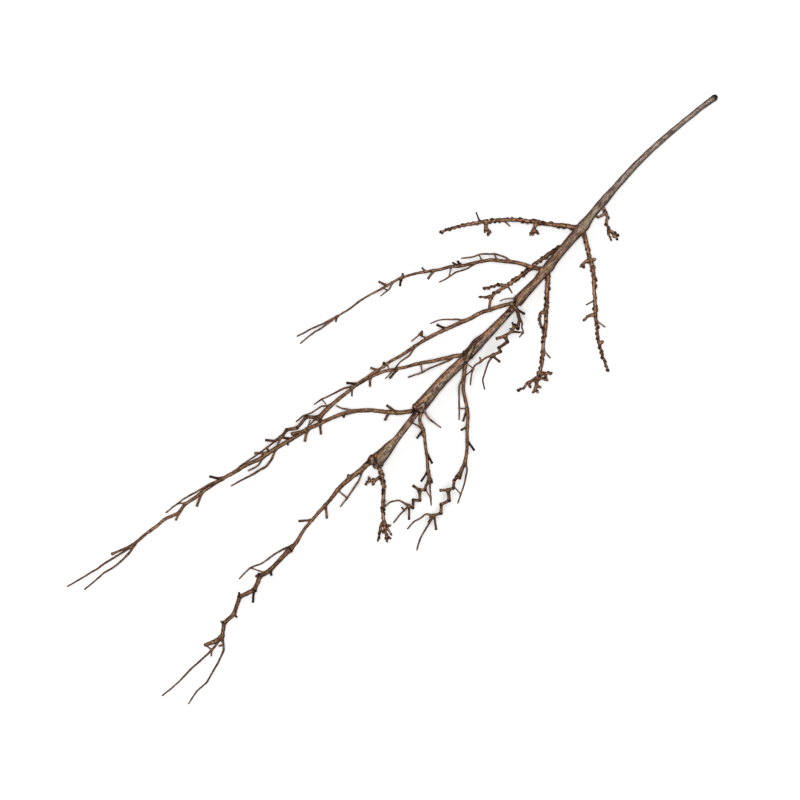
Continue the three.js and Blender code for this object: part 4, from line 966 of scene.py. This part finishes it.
SMOOTH = {
    "twig_g": [
        lead([(544.5, 268.5), (535, 268.5), (526, 265.5), (518, 263), (500, 261), (490, 260), (480, 262),
             (463, 266), (450, 267), (440, 270), (425, 272), (413, 274.5), (400, 278.5), (390, 284),
             (380, 290), (370, 295), (360, 301), (350, 309), (335, 318)], [15, 18, 28, 34, 32, 25, 18],
             [3, 2.6, 2.3, 1.9, 1.6, 1.3], sink=3),
        shoot(0, [(337, 317), (320, 325), (310, 330), (298, 336)], [0, 1], [1.2, 0.9]),
        shoot(0, [(338, 316), (325, 326), (315, 332), (301, 343)], [0, -4], [1.2, 0.9]),
        shoot(0, [(510, 262), (505, 257), (495, 254), (480, 254.5), (473, 257.5), (462, 258.5)],
              [0, 3, 2], [1.2, 0.9]),
        tie(0, 3, [(497, 260), (494, 254)], 0.9, 0.8),
        tie(0, 3, [(482, 261), (479, 255)], 0.9, 0.8),
        stub(0, [(461, 266), (457.5, 261.5)], 2, 1.6, 1.3),
        stub(0, [(458, 266.5), (452.5, 263)], 3, 1.4, 1.2),
        shoot(0, [(475, 264), (468, 268.5), (456, 272.5), (447, 278.5), (440, 282)], [0, -2, 0],
              [1.1, 0.9]),
        tie(0, 8, [(451, 268), (449, 277)], 0.9, 0.8),
        stub(0, [(434, 271), (428, 279)], 1, 1.5, 1.5),
        stub(0, [(401, 278), (400, 286)], 2, 1.5, 1.5),
        stub(0, [(387, 286), (379, 282)], 2, 1.4, 1.4),
        shoot(0, [(392, 282), (390, 289), (381, 296)], [0, 2], [1.1, 0.8]),
    ],
    "twig_h": [
        # The dark spot at its root is painted shade of the hole it goes into
        lead([(518, 301.5), (511, 304), (500, 306.5), (490, 310), (480, 313), (470, 319), (460, 323),
             (450, 327.5), (440, 332), (430, 337), (420, 343), (410, 349.5), (400, 356.5), (390, 361.5),
             (380, 369), (370, 375), (360, 382), (352, 388)], [22.2, 23, 25, 27, 29, 27],
             [2.6, 3, 2.6, 2.2, 1.8], sink=9, spots=[(514.5, 301.8, 6, 1, 0), (508, 305, 6, 0, 1),
             (500, 306.5, 7, 0, 0.8)]),
        shoot(0, [(354, 386.5), (345, 388), (335, 393), (322, 399), (315, 404)], [0, 2], [1.3, 0.9]),
        stub(0, [(357, 384), (347, 383)], 2, 1.5, 1.6),
        shoot(0, [(465, 321), (455, 319.5), (445, 319.5), (438, 320.5), (431, 323.5)], [0, 2],
              [1.1, 0.8]),
        stub(0, [(446, 329.5), (437, 325)], 1, 1.5, 1.5),
        shoot(0, [(427, 338.5), (419, 335)], [0, 1], [1, 0.9]),
        shoot(5, [(426, 325), (419, 335), (412, 341)], [2, 0, -2], [1.1, 0.9]),
        shoot(0, [(415, 346.5), (410, 355.5), (400, 362), (394, 370), (386, 378)], [0, 0, -2],
              [1.2, 0.8]),
        tie(0, 7, [(387, 364), (391, 373)], 0.9, 0.8),
        stub(0, [(378, 371), (371, 368)], 1, 1.4, 1.4),
        shoot(0, [(511, 303), (514, 307), (517, 311), (518, 316), (519, 320), (518, 324), (517, 329)],
              [0, 9, 30, 52], [2.7, 2.4, 2.2, 2], end="blunt"),
        stub(10, [(516, 309), (524, 314)], 1, 1.5, 1.5),
        shoot(10, [(519, 319), (522, 323), (521, 328), (523, 333), (519, 337)], [0, 14, 28], [1.1, 0.9]),
        shoot(10, [(517, 328), (514, 326), (511, 332), (504, 336.5), (496, 339)], [0, 4, 8],
              [1.8, 1.8, 1.7], end="blunt", zigzag=True),
        tie(13, 12, [(511, 332), (522, 333)], 1.3, 1.2, spots=[(516, 332.5, 6, 1, 0)]),
        shoot(13, [(504, 336), (507, 342.5), (498, 348), (500, 352), (491, 356)], [0, 2, 4], [1.7, 1.5],
              zigzag=True),
        shoot(15, [(493, 355), (484, 359), (474, 366), (471, 373), (470, 384)], [0, 0, -6], [1.3, 0.9]),
        shoot(16, [(472.4, 369.6), (466, 375), (462, 378)], [0, 0], [1, 0.8]),
        stub(15, [(491.5, 355.5), (499, 362)], 2, 1.5, 1.5),
        shoot(15, [(493, 355), (488, 362), (484, 374), (482, 380), (484, 388.5)], [0, -4, -12],
              [1.3, 0.9]),
    ],
    "twig_j": [
        lead([(466, 355), (455, 356), (440, 359.5), (430, 361.5), (415, 364), (405, 367.5), (395, 369),
             (385, 371), (375, 375), (365, 380), (355, 386), (345, 394), (335, 402), (325, 411),
             (318, 419)], [17, 16, 14, 13, 13, 18, 24], [3, 2.7, 2.4, 2.2, 2.2, 2.3, 2.8, 3.3],
             end="mouth", sink=5),
        shoot(0, [(453, 357), (449, 361), (440, 364), (430, 368), (422, 372.5), (409, 377)], [0, 2, 0],
              [1.2, 0.9]),
        tie(0, 1, [(421, 364), (422, 372)], 0.9, 0.8),
        stub(0, [(398, 369), (390, 378)], -2, 1.5, 1.5),
        stub(0, [(370, 377), (370, 386)], -2, 1.5, 1.5),
        shoot(0, [(330, 406), (322, 406), (312, 412.5), (303, 416), (297, 421)], [0, 4, 3], [1.1, 0.9]),
        shoot(0, [(319, 418), (307, 417), (297, 428), (287, 430), (281, 438)], [0, 3, 3], [1.8, 1.8, 1.6],
              zigzag=True),
        tie(6, 5, [(307, 417.5), (304, 415)], 0.9, 0.9),
        stub(6, [(282, 436.5), (275, 441), (266, 440)], 1, 1.6, 1.7),
        shoot(8, [(277, 440), (265, 449), (254, 457), (240, 466)], [0, -3, -10], [1.2, 0.9]),
        shoot(6, [(282, 436), (277, 446)], [0, -3], [1.2, 1]),
        shoot(0, [(319, 417), (313, 421), (311, 424)], [0, -3], [1.4, 1]),
    ],
    "twig_k": [
        # The dark spot at its root is painted shade of the hole it goes into
        lead([(466.5, 359), (464.5, 368), (464, 376), (463, 390), (466, 403), (468, 415), (467, 428),
             (467, 442), (467, 450), (465, 462), (458, 477)], [13, 14, 18, 26, 34, 40],
             [3, 2.5, 2.4, 2.4, 2.9], end="mouth", spots=[(466, 362, 4, 0.8, 0), (469, 357, 5, 0, 1)]),
        shoot(0, [(464, 376), (459, 386), (459, 405), (459, 419)], [0, 3, 4], [1.2, 0.9]),
        tie(0, 1, [(467, 408.5), (459, 408.5)], 0.9, 0.8),
        stub(0, [(467, 409), (463, 421)], 1, 1.5, 1.4),
        stub(0, [(467, 427), (461, 430)], 3, 1.4, 1.4),
        stub(0, [(467, 441), (474, 450)], 2, 1.5, 1.5),
        shoot(0, [(465, 461), (467, 470), (464, 484), (458, 502)], [0, 3, 2], [1.2, 0.9]),
        shoot(0, [(459, 475), (454, 480), (453, 488), (447, 489.5), (440, 490)], [0, 3, 4],
              [1.8, 1.7, 1.6], end="blunt", zigzag=True),
        tie(7, 6, [(453.5, 486), (461, 494)], 0.9, 0.8),
        shoot(7, [(448, 489), (449, 500), (441, 504), (441, 513), (432, 516)], [0, -4, -10], [1.7, 1.5],
              zigzag=True),
        shoot(9, [(434, 515.5), (426, 513.5), (419, 518.5), (414, 521), (408, 528)], [0, 0, -8],
              [1.2, 0.9]),
        stub(9, [(434, 515.5), (436, 529)], 3, 1.5, 1.6),
        shoot(9, [(434, 515.5), (426, 528), (420, 538), (417, 549)], [0, -8, -18], [1.2, 0.9]),
    ],
    "twig_l": [
        # The dark spot at its root is painted shade of the hole it goes into
        lead([(418, 410), (411.5, 411), (405, 412), (397, 412.8), (385, 412), (370, 410), (355, 411),
             (340, 414.5), (325, 421), (310, 428), (300, 434), (290, 440), (280, 446), (270, 452),
             (260, 459), (245, 465.5), (235, 472), (220, 480), (205, 490), (195, 498), (185, 504),
             (179, 513), (165, 518.5), (157, 526), (147, 533), (131, 547)],
             [20, 14, 11, 10, 9, 8, 6, 5, 4], [3.2, 2.9, 2.7, 2.9, 2.7, 2.3, 2.1], sink=8,
             spots=[(414.3, 411, 4.6, 1, 0), (408, 411.5, 4, 0, 1), (398, 412.5, 11, 0, 0.85),
             (380, 412, 13, 0, 0.7), (270, 452, 9, 0, 1), (250, 463, 12, 0, 1), (212, 485, 9, 0.6, 0)]),
        stub(0, [(134, 544.5), (120, 550.5), (112, 554)], 2, 1.6, 1.6),
        shoot(0, [(134, 544.5), (120, 554), (105, 563), (95, 570), (82, 578), (68, 586)], [0, -1, -3.4],
              [1.3, 0.9]),
        shoot(0, [(136, 543), (129, 554), (115, 566), (103, 574), (85, 589)], [0, -2, -3.6], [1.3, 0.9]),
        stub(0, [(397, 413), (387, 405.5)], 2, 1.6, 1.6),
        stub(0, [(389, 412), (385, 420)], 0, 1.5, 1.4),
        shoot(0, [(354, 411), (342, 408.5), (337, 406)], [0, 2], [1.2, 0.9]),
        stub(0, [(320, 423), (321, 434)], 1, 1.4, 1.4),
        stub(0, [(307, 429.5), (305, 441)], 1, 1.6, 1.6),
        shoot(0, [(307, 429.5), (310, 421)], [0, 1], [1, 0.8]),
        stub(0, [(308, 429), (300, 432), (292, 434)], 5, 1.7, 2.1),
        stub(0, [(291, 439), (279, 437)], 3, 1.5, 1.4),
        stub(0, [(268, 453.5), (255, 453)], 2, 1.6, 1.5),
        shoot(0, [(276, 448), (272, 459), (267, 466), (254, 474), (240, 481), (232, 485.5)], [0, 1, -1],
              [1.2, 1.3, 0.9]),
        shoot(0, [(263, 457), (259, 465), (249, 470.5)], [0, 2], [1.1, 0.8]),
        stub(0, [(222, 479), (210, 476.5)], 3, 1.5, 1.5),
        shoot(0, [(223, 478.5), (210, 484), (200, 489.5), (182, 500), (167, 512)], [0, 5, 3], [1.2, 0.9]),
        tie(0, 16, [(187, 503), (177, 503)], 0.9, 0.8),
        stub(0, [(202, 492), (197, 506)], 1, 1.5, 1.5),
        stub(0, [(180, 511), (176, 520)], 1, 1.3, 1.3),
    ],
    "twig_m": [
        lead([(422.5, 408), (421, 413.5), (419, 420), (424, 431), (425, 443), (427, 457), (428, 470),
             (430, 482)], [17, 18, 22, 28, 34], [2.6, 2.2, 2.2, 2.7], end="mouth", sink=4,
             spots=[(423, 430, 9, 0, 0.8), (427, 452, 12, 0, 0.65)]),
        shoot(0, [(423, 429), (413, 423)], [0, 3], [1.2, 0.9]),
        stub(0, [(423, 430), (417, 438)], 2, 1.4, 1.4),
        stub(0, [(427, 453), (432, 463)], 2, 1.4, 1.4),
        stub(0, [(428, 471), (421, 481)], 2, 1.4, 1.4),
        shoot(0, [(430, 480), (430, 490), (431, 504)], [0, 2, 4], [1.2, 0.9]),
        shoot(0, [(430, 480), (426, 485), (425, 489.5), (419, 489.5), (413, 485.5)], [0, 2, 3],
              [1.7, 1.6], end="blunt", zigzag=True),
        tie(6, 5, [(425, 488.5), (430.5, 498)], 0.9, 0.8),
        shoot(6, [(419.5, 489), (420, 500), (413, 499.5), (413, 508), (406, 504)], [0, -4, -9],
              [1.6, 1.4], zigzag=True),
        shoot(8, [(408, 505), (399, 500), (390, 501.5), (384, 507)], [0, -4, -8], [1.2, 0.9]),
        stub(8, [(409, 505.5), (409, 519)], 2, 1.4, 1.5),
        shoot(8, [(409, 505.5), (402, 512), (394, 522)], [0, -4, -10], [1.2, 0.9]),
    ],
    "twig_n": [
        # The dark spot at its root is painted shade of the hole it goes into
        lead([(373, 459.5), (367, 464), (360, 471), (350, 478), (340, 487), (330, 500), (320, 511),
             (305, 528), (296, 543), (290, 549)], [14, 12, 10, 9, 8.5], [4.2, 3.4, 2.6, 2.2, 2.8],
             end="mouth", sink=3, spots=[(368, 462.5, 2.5, 1, 0), (363, 468, 7, 0, 1),
             (354, 475, 9, 0, 0.9)]),
        shoot(0, [(365, 466), (358, 482), (347, 498), (341, 506)], [0, 2, 1], [1.2, 0.9]),
        tie(0, 1, [(338, 490), (347, 498)], 0.9, 0.8),
        stub(0, [(326, 506), (327, 518)], 1, 1.5, 1.5),
        stub(0, [(312, 520), (299, 521)], 2, 1.4, 1.4),
        shoot(0, [(293, 546), (285, 548), (275, 554), (262, 563), (250, 568), (240, 578)], [0, 3, 2],
              [1.2, 0.9]),
        shoot(0, [(291, 548), (280, 560), (269, 571), (260, 576), (258, 582), (254, 590), (240, 597),
              (237, 605), (234, 614), (224, 623), (222, 638)], [0, -1, -3, -4], [2.3, 2.2, 1.9],
              zigzag=True),
        tie(6, 5, [(266, 573), (251, 568)], 0.9, 0.8),
        stub(6, [(254, 589), (253, 602)], 0, 1.4, 1.5),
        shoot(6, [(222, 636), (216, 641), (205, 645)], [0, 2], [1.9, 3, 2.7, 1.9], end="blunt", gloom=0.2,
              spots=[(213, 642.5, 8, 0, 0.8)]),
        shoot(6, [(222, 636), (214, 648), (203, 658), (190, 670), (180, 681), (163, 695)], [0, -1, -3.8],
              [1.3, 0.9]),
        stub(10, [(212, 650), (207, 646)], 1, 0.9, 0.8),
        shoot(6, [(222.5, 635), (224, 650), (218, 663), (207, 682), (197, 691), (189, 703)],
              [0, -2, -3.9], [1.3, 0.9]),
    ],
}

SMOOTH_NUBS = {
    "twig_g": [(0, (425, 272), (422, 268), 1.2), (0, (403, 277.5), (402.5, 274), 1.3),
               (0, (337, 317.5), (336, 322), 1.2), (13, (388, 291), (384, 289), 0.8)],
    "twig_h": [(0, (384, 366), (384, 362.5), 1.5), (0, (352, 387), (352, 396), 1.1),
               (13, (513.5, 327), (511.5, 323), 1.2), (13, (511.5, 330), (509, 329), 1.0),
               (1, (322, 399), (326, 404), 0.8), (16, (480, 361), (479, 357.5), 1.1),
               (16, (472.5, 368.5), (468, 365), 0.9)],
    "twig_j": [(9, (267, 447.5), (269, 451.5), 1.2)],
    "twig_k": [(9, (431, 516), (428, 522), 1.1)],
    "twig_l": [(0, (343, 413.5), (344, 417), 1.2), (0, (288, 441), (288, 445), 1.0)],
    "twig_m": [(0, (424.5, 436), (421, 434), 1.1), (11, (404, 510), (401.5, 507), 1.0)],
    "twig_n": [(0, (350, 478), (348, 475), 1.4), (6, (270, 570), (271.5, 575), 1.4),
               (6, (260, 576), (256, 576), 1.4), (6, (240, 597), (239, 592.5), 1.3),
               (6, (234, 614), (237, 617), 1.2), (6, (225, 622), (221, 621.5), 1.2),
               (10, (212, 651), (211.5, 656), 1.0), (12, (223, 645), (219, 646), 1.0)],
}

bark_smooth = bark_material(
    "bark_smooth", [tone(36, 14, 9), tone(126, 76, 52), tone(190, 114, 60), tone(192, 146, 116),
                    tone(152, 130, 86)], warm=0.65, light=0.7, speck=0.9, shade_rim=0.18)
for place_in_row, (name, limbs) in enumerate(SMOOTH.items()):
    limbs = with_nubs(limbs, SMOOTH_NUBS.get(name, []), "blunt")
    bark_piece(name, twig_skins(limbs, False, 1501 + 317 * place_in_row), bark_smooth)

# The table, the light and the camera
# A white sheet under even daylight with a wide soft lamp from the upper left of the picture,
# and a camera that looks straight down from far off, as a long lens does.

FLOOR_HALF = 9.0
FLOOR_DEPTH = 0.0001
TABLE_WHITE = 0.74
TABLE_ROUGH = 0.9
CAMERA_POINT = (400, 400)  # the point of the sheet under the lens
CAMERA_HEIGHT = 12.0
SENSOR = 36.0
PICTURE_WIDTH = 800 * STEP * MM
DAYLIGHT = 0.42
LAMPS = {  # power, size across, and place over the sheet
    "lamp_over": (2050, 7.0, (400, 400, 14000)),
    "lamp_left": (115, 1.6, (-1650, -1650, 3600)),
}

corners = [(-FLOOR_HALF, -FLOOR_HALF), (FLOOR_HALF, -FLOOR_HALF), (FLOOR_HALF, FLOOR_HALF),
           (-FLOOR_HALF, FLOOR_HALF)]
sheet_mesh = bpy.data.meshes.new("table")
sheet_mesh.from_pydata([(x, y, -FLOOR_DEPTH) for x, y in corners], [], [(0, 1, 2, 3)])
table = bpy.data.objects.new("table", sheet_mesh)
bpy.context.scene.collection.objects.link(table)
table_white = bpy.data.materials.new("table_white")
table_white.use_nodes = True
white = next(node for node in table_white.node_tree.nodes if node.type == "BSDF_PRINCIPLED")
white.inputs["Base Color"].default_value = (TABLE_WHITE, TABLE_WHITE, TABLE_WHITE, 1)
white.inputs["Roughness"].default_value = TABLE_ROUGH
sheet_mesh.materials.append(table_white)

sky = bpy.data.worlds.new("daylight")
sky.use_nodes = True
sky_light = next(node for node in sky.node_tree.nodes if node.type == "BACKGROUND")
sky_light.inputs["Color"].default_value = (1, 1, 1, 1)
sky_light.inputs["Strength"].default_value = DAYLIGHT
bpy.context.scene.world = sky

for name, (power, size, spot) in LAMPS.items():
    lamp_light = bpy.data.lights.new(name, "AREA")
    lamp_light.shape = "DISK"
    lamp_light.size = size
    lamp_light.energy = power
    lamp = bpy.data.objects.new(name, lamp_light)
    lamp.location = place(*spot) * MM
    aim = Vector(place(*CAMERA_POINT)) * MM - lamp.location
    lamp.rotation_euler = aim.to_track_quat("-Z", "Y").to_euler()
    bpy.context.scene.collection.objects.link(lamp)

lens = bpy.data.cameras.new("camera")
lens.sensor_width = SENSOR
lens.lens = SENSOR * CAMERA_HEIGHT / PICTURE_WIDTH
lens.clip_end = 100
camera = bpy.data.objects.new("camera", lens)
camera.location = place(*CAMERA_POINT, CAMERA_HEIGHT / MM) * MM
camera.rotation_euler = (0, 0, SHEET_TURN)
bpy.context.scene.collection.objects.link(camera)
bpy.context.scene.camera = camera
bpy.context.scene.view_settings.view_transform = "Standard"
